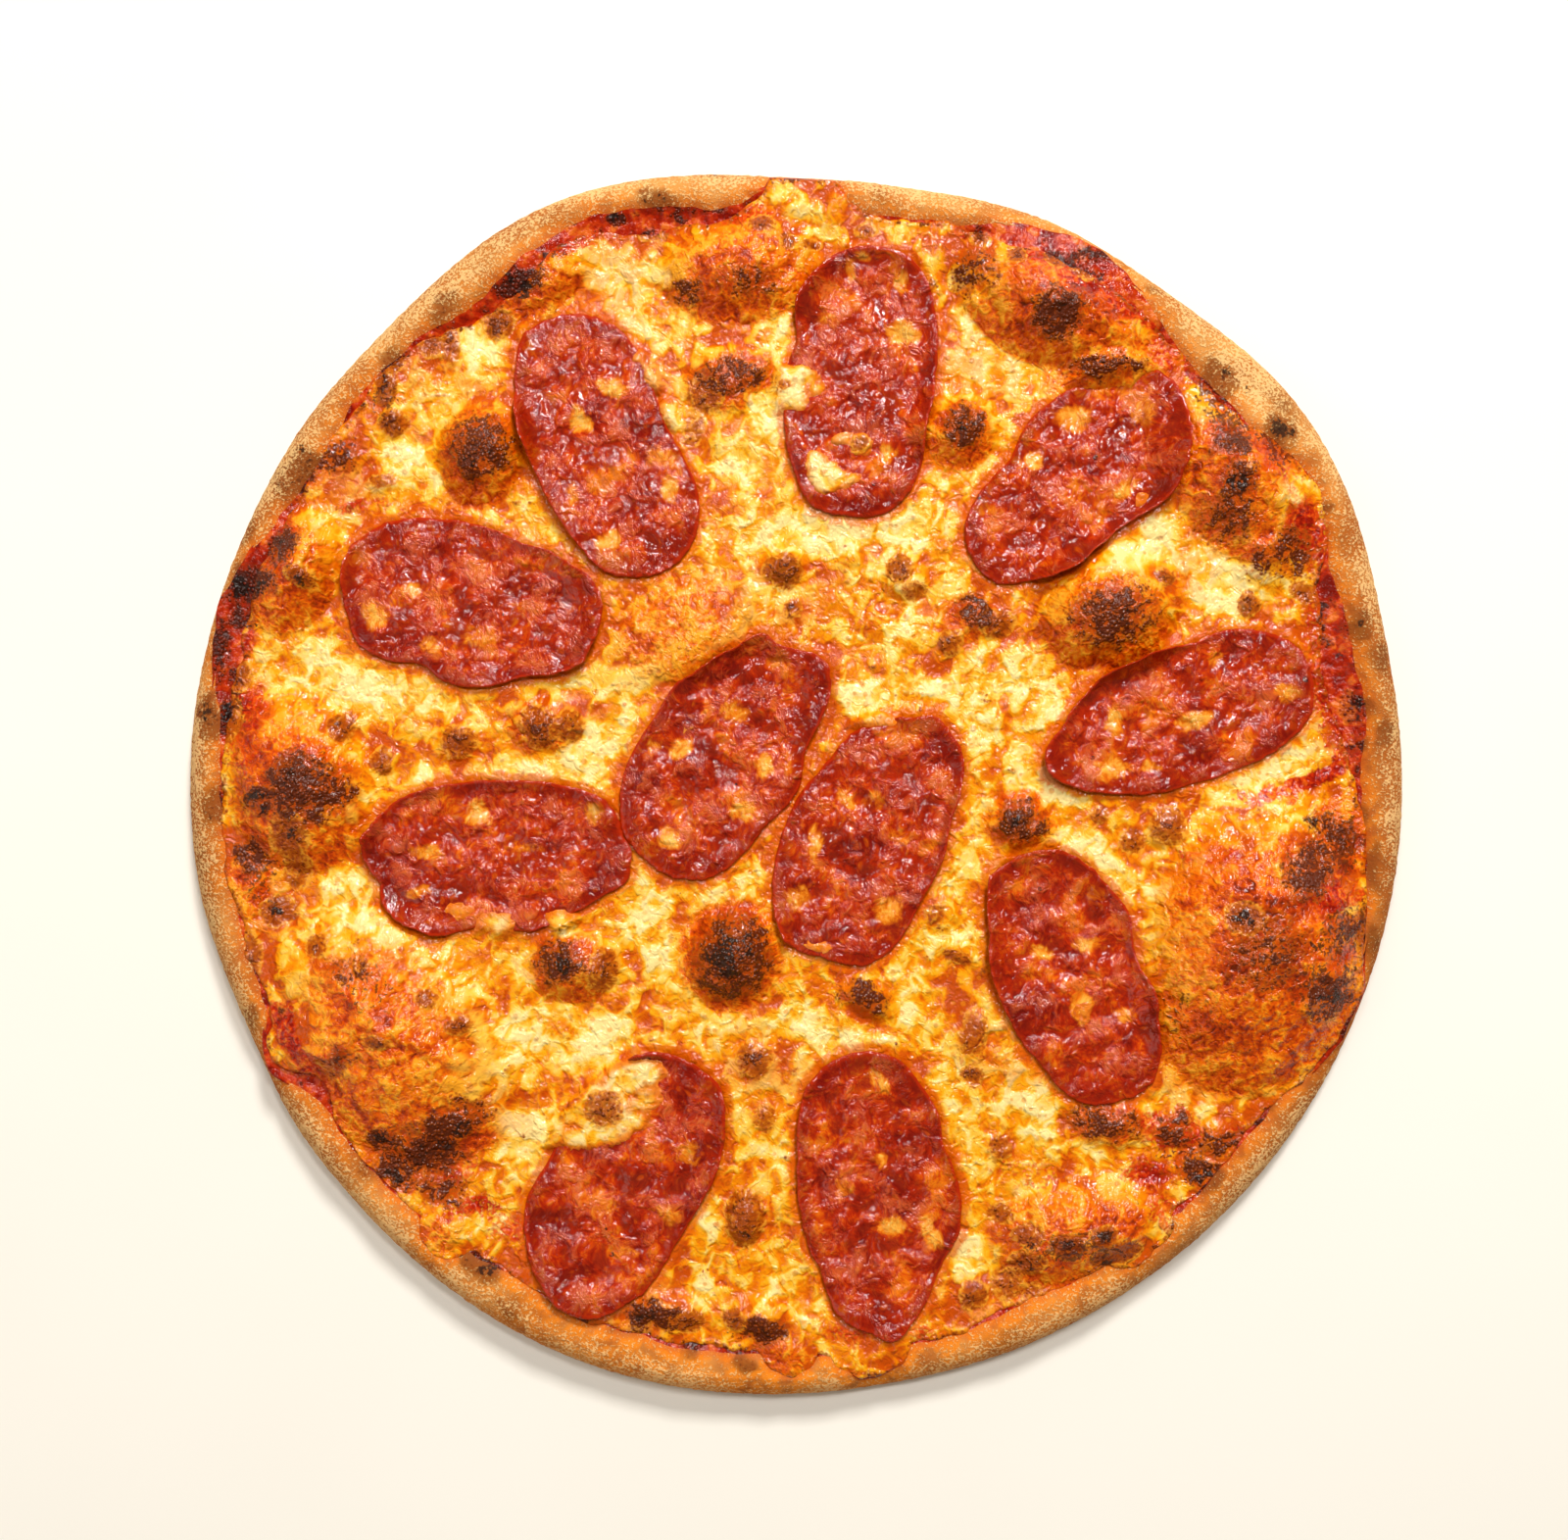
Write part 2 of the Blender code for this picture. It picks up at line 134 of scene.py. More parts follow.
pizzaForm = dict(
    radius=159.3, base=4.2, rim=10.5, hollowAtRim=2.6, sauceThick=0.9, gap=0.3,
    cheeseThick=2.0, cheeseEdge=0.9, rimStart=0.83, rimEnd=0.985, doughBed=0.8, domeInDough=0.45,
    # how far inside the outline the cheese and the sauce always end
    cheeseFromRim=2.6, sauceFromRim=2.0,
    # where the dough was stretched: middle, half width, extra radius
    bulges=((36, 26, 6.0), (64, 18, 3.0), (113, 26, 6.3), (140, 18, 1.2), (250, 34, 2.6), (203, 14, -1.6)),
    sauceReach=150.0,
    sauceBulges=((30, 10, 6.5), (62, 18, 9.5), (90, 9, 7.5), (110, 17, 7.5), (134, 14, 3.0), (163, 17, 6.5),
                 (208, 6, 6.0), (240, 8, -1.5), (295, 11, -2.0), (338, 15, 7.0), (0, 8, -2.0)),
    # tongues of cheese that ran out over the rim
    tongues=((89, 4, 5.0), (208, 3, 3.0), (232, 3, 4.5), (269.3, 2.8, 5.5), (277.5, 4, 5.5), (307, 4, 5.5)),
    # stretches where bare sauce shows: middle, half width, width
    bareSauce=((12, 14, 9.0), (62, 17, 6.5), (105, 16, 5.5), (120, 12, 5.0), (163, 16, 6.5), (210, 9, 6.0)),
    sauceLip=1.2,
    # crown of the bare rim: share of the outline and height
    rimCrown=((0.85, 9.5), (0.915, 9.6), (0.945, 10.2), (0.965, 10.3)),
    # domes of gas: x, y, half length, half width, turn, height
    domes=(
        (67, 126, 29, 17, -22, 10), (114.5, 82, 28, 18, -58, 9), (81, 46, 20, 16, 12, 9.5),
        (119.5, -41, 42, 30, 78, 14), (-106, -65, 40, 28, -48, 11), (-130, 1, 25, 20, -72, 10),
        (-131, 56, 18, 13, 62, 7.5), (-82.4, 87, 15, 12, 85, 8.5), (-15, 135, 23, 15, 3, 7),
        (-16.5, -45, 14, 13, 60, 8.5), (-58, -47, 13, 10, 0, 5), (42.8, 92.5, 11, 10, 0, 5.5),
        (-68, 133, 17, 10, 26, 6.5), (72, -116, 23, 14, 14, 7), (-28, 41, 24, 13, 26, 3),
    ),
)


def spread(reach, angle, rows):
    return reach + sum(extra * bump(angle, middle, half) for middle, half, extra in rows)


def polar(x, y):
    return np.hypot(x, y), np.degrees(np.arctan2(y, x)) % 360


def aroundNoise(angle, size, seed):
    # noise that closes up after a full turn; size is in degrees
    k = 180 / math.pi / size
    return softNoise(np.cos(np.radians(angle)) * k, np.sin(np.radians(angle)) * k, 1.0, seed)


def outlineRadius(angle):
    return spread(pizzaForm["radius"], angle, pizzaForm["bulges"])


def cheeseReach(angle):
    reach = spread(pizzaForm["sauceReach"], angle, pizzaForm["sauceBulges"]) - pizzaForm["sauceLip"]
    bare = [width * bump(angle, middle, half) for middle, half, width in pizzaForm["bareSauce"]]
    reach = reach - np.max(bare, axis=0)
    for middle, half, depth in pizzaForm["tongues"]:
        away = np.abs((angle - middle + 180) % 360 - 180) / half
        reach = reach + depth * np.clip(1 - away ** 2, 0, 1) ** 0.6
    fine = 1.4 * aroundNoise(angle, 6.0, 5) + 1.0 * aroundNoise(angle, 2.6, 6)
    fine = fine + 0.5 * aroundNoise(angle, 1.1, 7)
    return np.minimum(reach + fine, outlineRadius(angle) - pizzaForm["cheeseFromRim"])


def sauceReach(angle):
    reach = spread(pizzaForm["sauceReach"], angle, pizzaForm["sauceBulges"])
    reach = reach + 0.9 * aroundNoise(angle, 5.0, 15) + 0.6 * aroundNoise(angle, 1.8, 16)
    reach = np.maximum(reach, cheeseReach(angle) + 0.5)
    return np.minimum(reach, outlineRadius(angle) - pizzaForm["sauceFromRim"])


def levelGround(share):
    rise = pizzaForm["rim"] - pizzaForm["base"] - pizzaForm["hollowAtRim"]
    return pizzaForm["base"] + rise * smooth(share, pizzaForm["rimStart"], pizzaForm["rimEnd"])


def domeHeight(x, y):
    return spots(x, y, pizzaForm["domes"], 1.25)


def doughTop(x, y):
    # bed under the sauce, and the bare rim outside it
    r, angle = polar(x, y)
    share = r / outlineRadius(angle)
    domes = domeHeight(x, y)
    inside = levelGround(share) + pizzaForm["doughBed"] + pizzaForm["domeInDough"] * domes
    rim = np.interp(share, *zip(*pizzaForm["rimCrown"]))
    rim = rim + pizzaForm["domeInDough"] * domes + 0.7 * softNoise(x, y, 24, 3) + 0.35 * softNoise(x, y, 9, 4)
    out = smooth(r - sauceReach(angle), -4.5, 2.5)
    return inside + (rim - inside) * out


def sauceTop(x, y):
    r, angle = polar(x, y)
    share = r / outlineRadius(angle)
    rise = pizzaForm["gap"] + pizzaForm["sauceThick"]
    body = levelGround(share) + rise + pizzaForm["domeInDough"] * domeHeight(x, y)
    body = body + 0.12 * softNoise(x, y, 5, 8)
    film = doughTop(x, y) + 0.45 * smooth(sauceReach(angle) - r, 0.0, 2.2) - 0.12
    return np.maximum(body, film)


# Slices: x, y, half length, half width, turn, egg shape, bend, waist, edge lift
slices = (
    (-49, 88.4, 35.4, 18.6, -69, 0.02, 0, 0.05, 1.8),
    (16.5, 104.3, 34.6, 19.4, 85, -0.04, -0.03, -0.04, 1.6),
    (73.5, 80.5, 35, 18.7, 45, 0.03, 0.04, 0, 2), (-85, 47.5, 33.6, 20, -11, -0.05, 0.06, -0.06, 2.4),
    (-18.6, 7.6, 34, 20.6, 63, 0.02, -0.03, -0.02, 2.6), (19.2, -13.6, 35.2, 20.2, 71, 0, 0.04, 0, 2),
    (99.6, 19.2, 35.4, 18.2, 17, 0.1, 0, -0.02, 2.6),
    (-79.6, -18.4, 34.6, 19.3, -3, 0.04, 0.06, -0.04, 2.2),
    (72.2, -51.1, 35, 18.5, -69, -0.02, -0.02, 0.02, 2.6),
    (-43.6, -104, 36.4, 20.8, 69, 0.04, -0.03, 0, 2), (21.1, -107.4, 37.6, 20, -84, -0.04, 0, -0.04, 2),
)


ovalPower = 0.86     # below 1 fills out the shoulders of the ovals
restReach = 3.5     # a slice rests on the highest cheese within this reach
cutStep = 15.0

# how far each cut edge lies outside the plain oval, at every cutStep degrees
cutEdges = (
    (0.5, 0.5, 0.8, 1.5, 1.2, -0.8, -2, -1.5, 0, 0.2, -0.3, -0.5,
     0.2, 1, 2.7, 2, 2.2, 3, 2.6, 1.5, 0.8, 1, 1, 0),
    (0.3, 0.6, 1, 1, 2.3, -2.8, -1, -1.3, -0.6, -0.6, 1, 0.3,
     -0.3, 0.2, 0.7, 1, 0.6, -1.5, -0.5, 0.6, 1.6, 1.9, 1.6, 0.8),
    (-1, -2, -2.6, -2.5, -1.2, 0.3, 0.8, -3, -1.5, 0, 0.2, 0,
     0.4, 0.8, -0.9, -1.3, -0.8, -2.3, -1.9, 2.3, 1, -0.5, -2, -2),
    (1, 0.9, 0.7, -0.8, -0.5, -2, -0.5, -0.2, 0.3, 0.3, -0.3, 0.2,
     0.2, -0.7, 0.2, 2, 0.6, -3.5, 0.2, -0.2, -1.7, 0.5, 2.2, 0.5),
    (-2.5, -0.3, -4.2, -4.2, -3.6, -1.2, -0.8, 1.4, 2.7, 2.8, 1.9, 0.6,
     0.6, -0.2, -0.5, -1.2, -1.8, -1.8, 0.6, -2.4, -0.5, 2.5, 3.3, 0.5),
    (-3.2, -4.6, -4.4, -3.5, -3, -1, 2, 2.6, 2.6, 2.2, 1.7, 0,
     -1.7, -1, 0.4, 0, -1.4, -2.3, -1, -2, 0.4, 1.9, 1, 1),
    (0, 0, -1, -1, -1, -3.6, -2.2, -2.4, -2.2, -4.2, -4.4, -4.2,
     1.2, 3, 2.5, 2, 1.6, 1.8, 0.7, 0.4, 0.8, 0.8, 1, 0),
    (2, 0, 1.5, 2.6, 1.8, 1, 0, -0.5, -1, -2, -3.2, -3,
     -1, -2, -2.6, 1.5, 3.2, 2.6, -3.6, -0.5, -2, -2.5, -2, 2),
    (-1.8, -0.5, 1, 0.8, -0.3, 0.4, -1.8, 2, 0.5, 0.6, 0.6, 0.2,
     0.4, 0.5, 2.2, 0, -0.6, 1.7, 1.8, 0.5, -1.4, -1, -1.2, -1.8),
    (-1, -0.6, -1, -3, -2, -1, 0, 3.6, 3, 2, 0.5, 0.5,
     0, -2, -3.4, -2.6, -3.2, -3.2, -1.4, 0.2, 0.3, 0.6, 0.7, -1),
    (-0.3, -3.6, -4.8, -5, -3.3, 0.7, 0.7, -2, -0.3, -1.4, -0.5, 0,
     0.6, 0.3, 0.8, 1.6, 0.6, -0.6, -0.4, -0.8, -2, -0.3, -1.3, -2.5),
)


def slicePoint(index, share, angle):
    x, y, halfLength, halfWidth, turn, egg, bend, waist, _ = slices[index]
    turn = math.radians(turn)
    c, s = np.cos(angle), np.sin(angle)
    along = share * np.sign(c) * np.abs(c) ** ovalPower
    across = share * np.sign(s) * np.abs(s) ** ovalPower
    across = across * (1 + egg * along) * (1 - waist * np.exp(-((along / 0.4) ** 2)))
    acrossMm = across * halfWidth + bend * halfLength * (along * along - 0.4)
    alongMm = along * halfLength
    dx = alongMm * math.cos(turn) - acrossMm * math.sin(turn)
    dy = alongMm * math.sin(turn) + acrossMm * math.cos(turn)
    degrees = np.degrees(angle) % 360
    steps = np.array(cutEdges[index] * 3)
    places = np.arange(len(steps)) * cutStep - 360
    # a little smoothing rounds the corners between the measured places
    extra = sum(np.interp(degrees + away, places, steps) for away in (-3, 0, 3)) / 3
    extra = extra + 0.35 * aroundNoise(degrees, 7, 230 + index) + 0.2 * aroundNoise(degrees, 3, 260 + index)
    outward = 1 + extra * share ** 3 / (np.hypot(dx, dy) + 1e-6)
    return x + dx * outward, y + dy * outward


def sliceReach(index):
    # polar form of a slice's outline about its middle
    angle = np.linspace(0, 2 * math.pi, 481)[:-1]
    x, y = slicePoint(index, np.ones_like(angle), angle)
    r, a = polar(x - slices[index][0], y - slices[index][1])
    order = np.argsort(a)
    return np.concatenate([a[order] - 360, a[order], a[order] + 360]), np.tile(r[order], 3)


sliceOutlines = [sliceReach(index) for index in range(len(slices))]


def insideSlice(x, y):
    # millimetres inside the nearest slice's outline, negative outside
    best = np.full(np.shape(x), -99.0)
    for (cx, cy, *_), (angles, radii) in zip(slices, sliceOutlines):
        r, a = polar(x - cx, y - cy)
        best = np.maximum(best, np.interp(a, angles, radii) - r)
    return best


def seat(x, y):
    # 1 under a slice, 0 away from it
    return smooth(insideSlice(x, y), -3.0, 0.0)


def restingHeight(x, y):
    # level of the slices' undersides
    best = np.zeros_like(x)
    bed = 2 * pizzaForm["gap"] + pizzaForm["sauceThick"]
    for step in range(9):
        turn = step * math.pi / 4
        reach = restReach if step < 8 else 0.0
        px, py = x + reach * math.cos(turn), y + reach * math.sin(turn)
        r, angle = polar(px, py)
        level = levelGround(r / outlineRadius(angle)) + bed + pizzaForm["cheeseThick"] + domeHeight(px, py)
        best = np.maximum(best, level)
    return best + pizzaForm["gap"]


# Meshes

def meshObject(name, points, faces, material, nodeName, fields):
    mesh = bpy.data.meshes.new(name)
    faces = np.asarray(faces, dtype=np.int32)
    mesh.vertices.add(len(points))
    mesh.vertices.foreach_set("co", (np.asarray(points, dtype=np.float64) * mm).astype(np.float32).ravel())
    mesh.loops.add(faces.size)
    mesh.loops.foreach_set("vertex_index", faces.ravel())
    mesh.polygons.add(len(faces))
    mesh.polygons.foreach_set("loop_start", np.arange(0, faces.size, 4, dtype=np.int32))
    mesh.update(calc_edges=True)
    mesh.validate()
    mesh.polygons.foreach_set("use_smooth", np.ones(len(mesh.polygons), dtype=bool))
    for label, values in fields.items():
        layer = mesh.attributes.new(label, "FLOAT", "POINT")
        layer.data.foreach_set("value", np.asarray(values, dtype=np.float32))
    mesh.materials.append(material)
    piece = bpy.data.objects.new(name, mesh)
    bpy.context.scene.collection.objects.link(piece)
    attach(piece, "root")
    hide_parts(nodeName)


def ringFaces(rings, around):
    # quads between closed rings of `around` points each
    i = np.arange(rings - 1)[:, None] * around
    j = np.arange(around)[None, :]
    k = (j + 1) % around
    return np.stack([i + j, i + k, i + around + k, i + around + j], axis=-1).reshape(-1, 4)


def capFaces(start, around):
    # a strip of quads that closes the small hole inside a ring
    i = np.arange(around // 2 - 1)
    return np.stack([start + i, start + i + 1, start + around - 2 - i, start + around - 1 - i], axis=-1)


# Shader building

def colour(red, green, blue):
    channels = [c / 255 for c in (red, green, blue)]
    return tuple(c / 12.92 if c <= 0.04045 else ((c + 0.055) / 1.055) ** 2.4 for c in channels) + (1.0,)


def feed(tree, socket, value):
    if isinstance(value, bpy.types.NodeSocket):
        tree.links.new(value, socket)
    else:
        socket.default_value = value


def calc(tree, operation, *values):
    node = tree.nodes.new("ShaderNodeMath")
    node.operation = operation
    for socket, value in zip(node.inputs, values):
        feed(tree, socket, value)
    return node.outputs[0]


def times(tree, first, second):
    return calc(tree, "MULTIPLY", first, second)


def ramp(tree, value, low, high, toLow=0.0, toHigh=1.0):
    node = tree.nodes.new("ShaderNodeMapRange")
    node.interpolation_type = "SMOOTHSTEP"
    ends = (("Value", value), ("From Min", low), ("From Max", high), ("To Min", toLow), ("To Max", toHigh))
    for label, given in ends:
        feed(tree, node.inputs[label], given)
    return node.outputs[0]


def noise(tree, coords, size, detail=2.0, distortion=0.0, roughness=0.5, flat=True):
    node = tree.nodes.new("ShaderNodeTexNoise")
    node.noise_dimensions = "2D" if flat else "3D"
    feed(tree, node.inputs["Vector"], coords)
    if isinstance(size, bpy.types.NodeSocket):
        feed(tree, node.inputs["Scale"], calc(tree, "DIVIDE", 1.0, size))
    else:
        node.inputs["Scale"].default_value = 1.0 / size
    node.inputs["Detail"].default_value = detail
    node.inputs["Roughness"].default_value = roughness
    node.inputs["Distortion"].default_value = distortion
    return node.outputs[0]


def cells(tree, coords, size, feature="F1", smoothness=0.3, flat=True):
    node = tree.nodes.new("ShaderNodeTexVoronoi")
    node.voronoi_dimensions = "2D" if flat else "3D"
    node.feature = feature
    feed(tree, node.inputs["Vector"], coords)
    if isinstance(size, bpy.types.NodeSocket):
        feed(tree, node.inputs["Scale"], calc(tree, "DIVIDE", 1.0, size))
    else:
        node.inputs["Scale"].default_value = 1.0 / size
    if feature == "SMOOTH_F1":
        node.inputs["Smoothness"].default_value = smoothness
    return node


def mix(tree, mask, under, over):
    node = tree.nodes.new("ShaderNodeMix")
    node.data_type = "RGBA"
    feed(tree, node.inputs[0], mask)
    feed(tree, node.inputs[6], under)
    feed(tree, node.inputs[7], over)
    return node.outputs[2]


def tones(tree, value, *stops):
    # stops: (position, colour) from low to high
    node = tree.nodes.new("ShaderNodeValToRGB")
    band = node.color_ramp
    while len(band.elements) < len(stops):
        band.elements.new(0.5)
    for element, (position, tint) in zip(band.elements, stops):
        element.position = position
        element.color = tint
    feed(tree, node.inputs[0], value)
    return node.outputs[0]


def total(tree, start, *parts):
    # start plus each value times its weight
    result = start
    for value, weight in parts:
        node = tree.nodes.new("ShaderNodeMath")
        node.operation = "MULTIPLY_ADD"
        feed(tree, node.inputs[0], value)
        feed(tree, node.inputs[1], weight)
        feed(tree, node.inputs[2], result)
        result = node.outputs[0]
    return result


def field(tree, name):
    node = tree.nodes.new("ShaderNodeAttribute")
    node.attribute_type = "GEOMETRY"
    node.attribute_name = name
    return node.outputs["Fac"]


def makeGroup(name, inputs, outputs):
    tree = bpy.data.node_groups.new(name, "ShaderNodeTree")
    for label, kind, value in inputs:
        socket = tree.interface.new_socket(name=label, in_out="INPUT", socket_type="NodeSocket" + kind)
        if value is not None:
            socket.default_value = value
    for label, kind in outputs:
        tree.interface.new_socket(name=label, in_out="OUTPUT", socket_type="NodeSocket" + kind)
    source = tree.nodes.new("NodeGroupInput")
    target = tree.nodes.new("NodeGroupOutput")
    return tree, source.outputs, target.inputs


def useGroup(tree, group, **values):
    node = tree.nodes.new("ShaderNodeGroup")
    node.node_tree = group
    for label, value in values.items():
        feed(tree, node.inputs[label], value)
    return node.outputs


def newMaterial(name, specular):
    material = bpy.data.materials.new(name)
    material.use_nodes = True
    tree = material.node_tree
    shader = tree.nodes["Principled BSDF"]
    shader.inputs["Specular IOR Level"].default_value = specular
    shader.inputs["IOR"].default_value = 1.45
    place = tree.nodes.new("ShaderNodeTexCoord")
    scale = tree.nodes.new("ShaderNodeMapping")
    scale.inputs["Scale"].default_value = (1000, 1000, 1000)     # millimetres from here on
    tree.links.new(place.outputs["Object"], scale.inputs["Vector"])
    return material, tree, shader, scale.outputs[0]


def finishMaterial(tree, shader, tint, roughness, height):
    feed(tree, shader.inputs["Base Color"], tint)
    feed(tree, shader.inputs["Roughness"], roughness)
    relief = tree.nodes.new("ShaderNodeBump")
    relief.inputs["Distance"].default_value = mm
    relief.inputs["Strength"].default_value = 1.0
    feed(tree, relief.inputs["Height"], height)
    tree.links.new(relief.outputs[0], shader.inputs["Normal"])


# Baked colours laid over a surface: a toasted ring, then glossy brown beads, then black crust
def buildBaked():
    tree, given, result = makeGroup(
        "bakedTones",
        (("Vector", "Vector", None), ("Colour", "Color", (1, 1, 1, 1)), ("Brown", "Float", 0.0),
         ("Char", "Float", 0.0), ("Toasted", "Color", (1, 1, 1, 1)), ("Dark", "Color", (1, 1, 1, 1)),
         ("Black", "Color", (0, 0, 0, 1)), ("Size", "Float", 1.0)),
        (("Colour", "Color"), ("Dry", "Float"), ("Height", "Float")),
    )
    place = given["Vector"]
    size = given["Size"]
    coarse = noise(tree, place, times(tree, size, 2.4), 2.0, 0.3, 0.6, flat=False)
    boiled = cells(tree, place, times(tree, size, 1.15), flat=False)
    bead = ramp(tree, boiled.outputs["Distance"], 0.15, 0.62, 1.0, 0.0)
    edge = total(tree, -0.72, (given["Brown"], 1.0), (coarse, 1.15), (bead, 0.2))
    some = ramp(tree, given["Brown"], 0.01, 0.12)
    toast = times(tree, ramp(tree, edge, -0.02, 0.34), some)
    body = times(tree, ramp(tree, edge, 0.34, 0.54), some)
    toastMask = times(tree, toast, ramp(tree, bead, 0.0, 0.9, 0.62, 0.92))
    tint = mix(tree, toastMask, given["Colour"], given["Toasted"])
    between = ramp(tree, bead, 0.1, 0.8, 1.0, 0.6)
    tint = mix(tree, times(tree, body, between), tint, given["Dark"])
    crust = total(tree, -0.72, (given["Char"], 1.0), (coarse, 1.3), (bead, -0.25))
    burnt = times(tree, ramp(tree, crust, 0.34, 0.54), ramp(tree, given["Char"], 0.02, 0.15))
    tint = mix(tree, times(tree, burnt, 0.85), tint, given["Black"])
    feed(tree, result["Colour"], tint)
    feed(tree, result["Dry"], calc(tree, "MAXIMUM", body, burnt))
    feed(tree, result["Height"], times(tree, times(tree, bead, 0.3), body))
    return tree


# Round soft-edged dots of mixed size; Amount is the share of places that has one
def buildDots():
    tree, given, result = makeGroup(
        "roundDots",
        (("Vector", "Vector", None), ("Size", "Float", 2.5), ("Amount", "Float", 0.5),
         ("Softness", "Float", 0.12)),
        (("Mask", "Float"),),
    )
    node = cells(tree, given["Vector"], given["Size"])
    chance = tree.nodes.new("ShaderNodeSeparateColor")
    feed(tree, chance.inputs[0], node.outputs["Color"])
    radius = total(tree, 0.14, (chance.outputs[0], 0.26))
    inner = calc(tree, "SUBTRACT", radius, given["Softness"])
    disc = ramp(tree, node.outputs["Distance"], inner, radius, 1.0, 0.0)
    shown = ramp(tree, calc(tree, "SUBTRACT", given["Amount"], chance.outputs[1]), 0.0, 0.1)
    feed(tree, result["Mask"], times(tree, disc, shown))
    return tree


baked = buildBaked()
roundDots = buildDots()
print("shader groups built")


# Dough

dough = dict(
    around=720, innerRings=44, edgeRings=30, underRings=40, topFrom=0.86, underFrom=0.945, middle=0.02,
    gloss=0.1, broadSize=16.0, middlingSize=3.6, powderSize=0.7,
    flour=colour(250, 206, 140), crumb=colour(190, 110, 46), tan=colour(220, 148, 74),
    baked=colour(172, 90, 32), gold=colour(240, 136, 32), smudge=colour(104, 58, 28),
    toasted=colour(150, 76, 26), dark=colour(80, 40, 20), black=colour(34, 23, 20), stain=colour(200, 84, 12),
    # parts of the rim with less flour, more colour and more gold: middle, half width, amount
    lessFlour=((266, 60, -0.3), (350, 55, -0.35)),
    moreBaked=((80, 80, -0.4), (190, 60, 0.3), (350, 60, 0.6)),
    moreGold=((266, 60, 0.75),),
    # toasted patches of the bare rim: x, y, half length, half width, turn, strength
    toast=(
        (-131, 80, 10, 7, 60, 0.75), (-126, 83, 8, 5, 20, 0.8), (-92, 124, 7, 5, 40, 0.6),
        (-105, 110, 6, 5, 40, 0.6), (-37, 152, 8, 4, 5, 0.7), (-22, 160, 3, 2, 0, 0.5),
        (22, 153, 5, 3, 0, 0.4), (-62, 148, 9, 4, 20, 0.35), (76, 146, 8, 3, -28, 0.5),
        (84, 138, 8, 4, -40, 0.5), (93, 129, 5, 3, -40, 0.45), (110, 106, 8, 5, -45, 0.75),
        (127, 98, 10, 6, -50, 0.4), (126, 92, 7, 5, -50, 0.75), (138, 72, 4, 3, 0, 0.6),
        (146, 42, 5, 6, 0, 0.7), (152, 33, 5, 7, 0, 0.5), (146, 20, 5, 5, 0, 0.7),
        (153, 14, 4, 6, 0, 0.6), (146, 10, 4, 4, 0, 0.6), (144, -10, 7, 9, 0, 0.7),
        (150, -22, 4, 9, 0, 0.6), (150, -40, 4, 8, 0, 0.6), (142, -60, 5, 9, -20, 0.65),
        (120, -84, 9, 4, 20, 0.6), (134, -75, 8, 4, 50, 0.3), (106, -102, 6, 6, 0, 0.8),
        (88, -124, 9, 4, 30, 0.3), (-82, -125, 9, 5, -35, 0.8), (-75, -136, 8, 4, -30, 0.5),
        (-44, -141, 7, 4, 0, 0.4), (-27, -147, 4, 3, 0, 0.7), (-13, -151, 4, 4, 0, 0.7),
        (-112, -99, 9, 5, -45, 0.5), (-140, -47, 5, 9, 0, 0.4), (-142, -60, 4, 5, 0, 0.6),
        (-151, -6, 6, 8, 0, 0.65), (-155, -21, 3, 6, 0, 0.5), (-153, 18, 4, 9, 0, 0.8),
        (-150, 33, 3, 9, 0, 0.6), (-145, 52, 5, 8, -20, 0.8), (-143, 66, 4, 6, -30, 0.5),
        (55, -143, 7, 3, 15, 0.35), (-152, -35, 3, 8, 0, 0.35),
    ),
    char=(
        (-133, 78, 5, 6, 20, 0.45), (-128, 86, 5, 3, 10, 0.5), (-37, 152, 5, 2.5, 5, 0.6),
        (112, 107, 4, 3, -40, 0.6), (117, 102, 3, 3, 0, 0.5), (126, 92, 5, 3, -50, 0.75),
        (146, 42, 3, 3, 0, 0.55), (147, 20, 3, 3, 0, 0.6), (153, 14, 2, 4, 0, 0.3),
        (143, -10, 5, 6, 0, 0.5), (142, -61, 3, 5, -20, 0.5), (106, -101, 5, 5, 0, 0.6),
        (121, -84, 5, 2, 20, 0.35), (-81, -126, 5, 3, -20, 0.7), (-83, -120, 3, 3, 0, 0.5),
        (-13, -151, 3, 2, 0, 0.4), (-153, 19, 3, 5, 0, 0.6), (-146, 51, 4, 5, 0, 0.7),
        (-141, -61, 3, 3, 0, 0.4), (-152, -8, 4, 4, 0, 0.35), (-26, -148, 2, 2, 0, 0.6),
        (-22, 160, 1.5, 1, 0, 0.7),
    ),
    # the rim's side from its top to its foot: share of the outline and height
    section=(
        (0.965, 10.3), (0.974, 9.95), (0.983, 9.1), (0.99, 7.9), (0.996, 6.4), (0.9995, 4.9),
        (0.9985, 3.4), (0.993, 1.9), (0.983, 0.8), (0.97, 0.2), (0.955, 0),
    ),
)


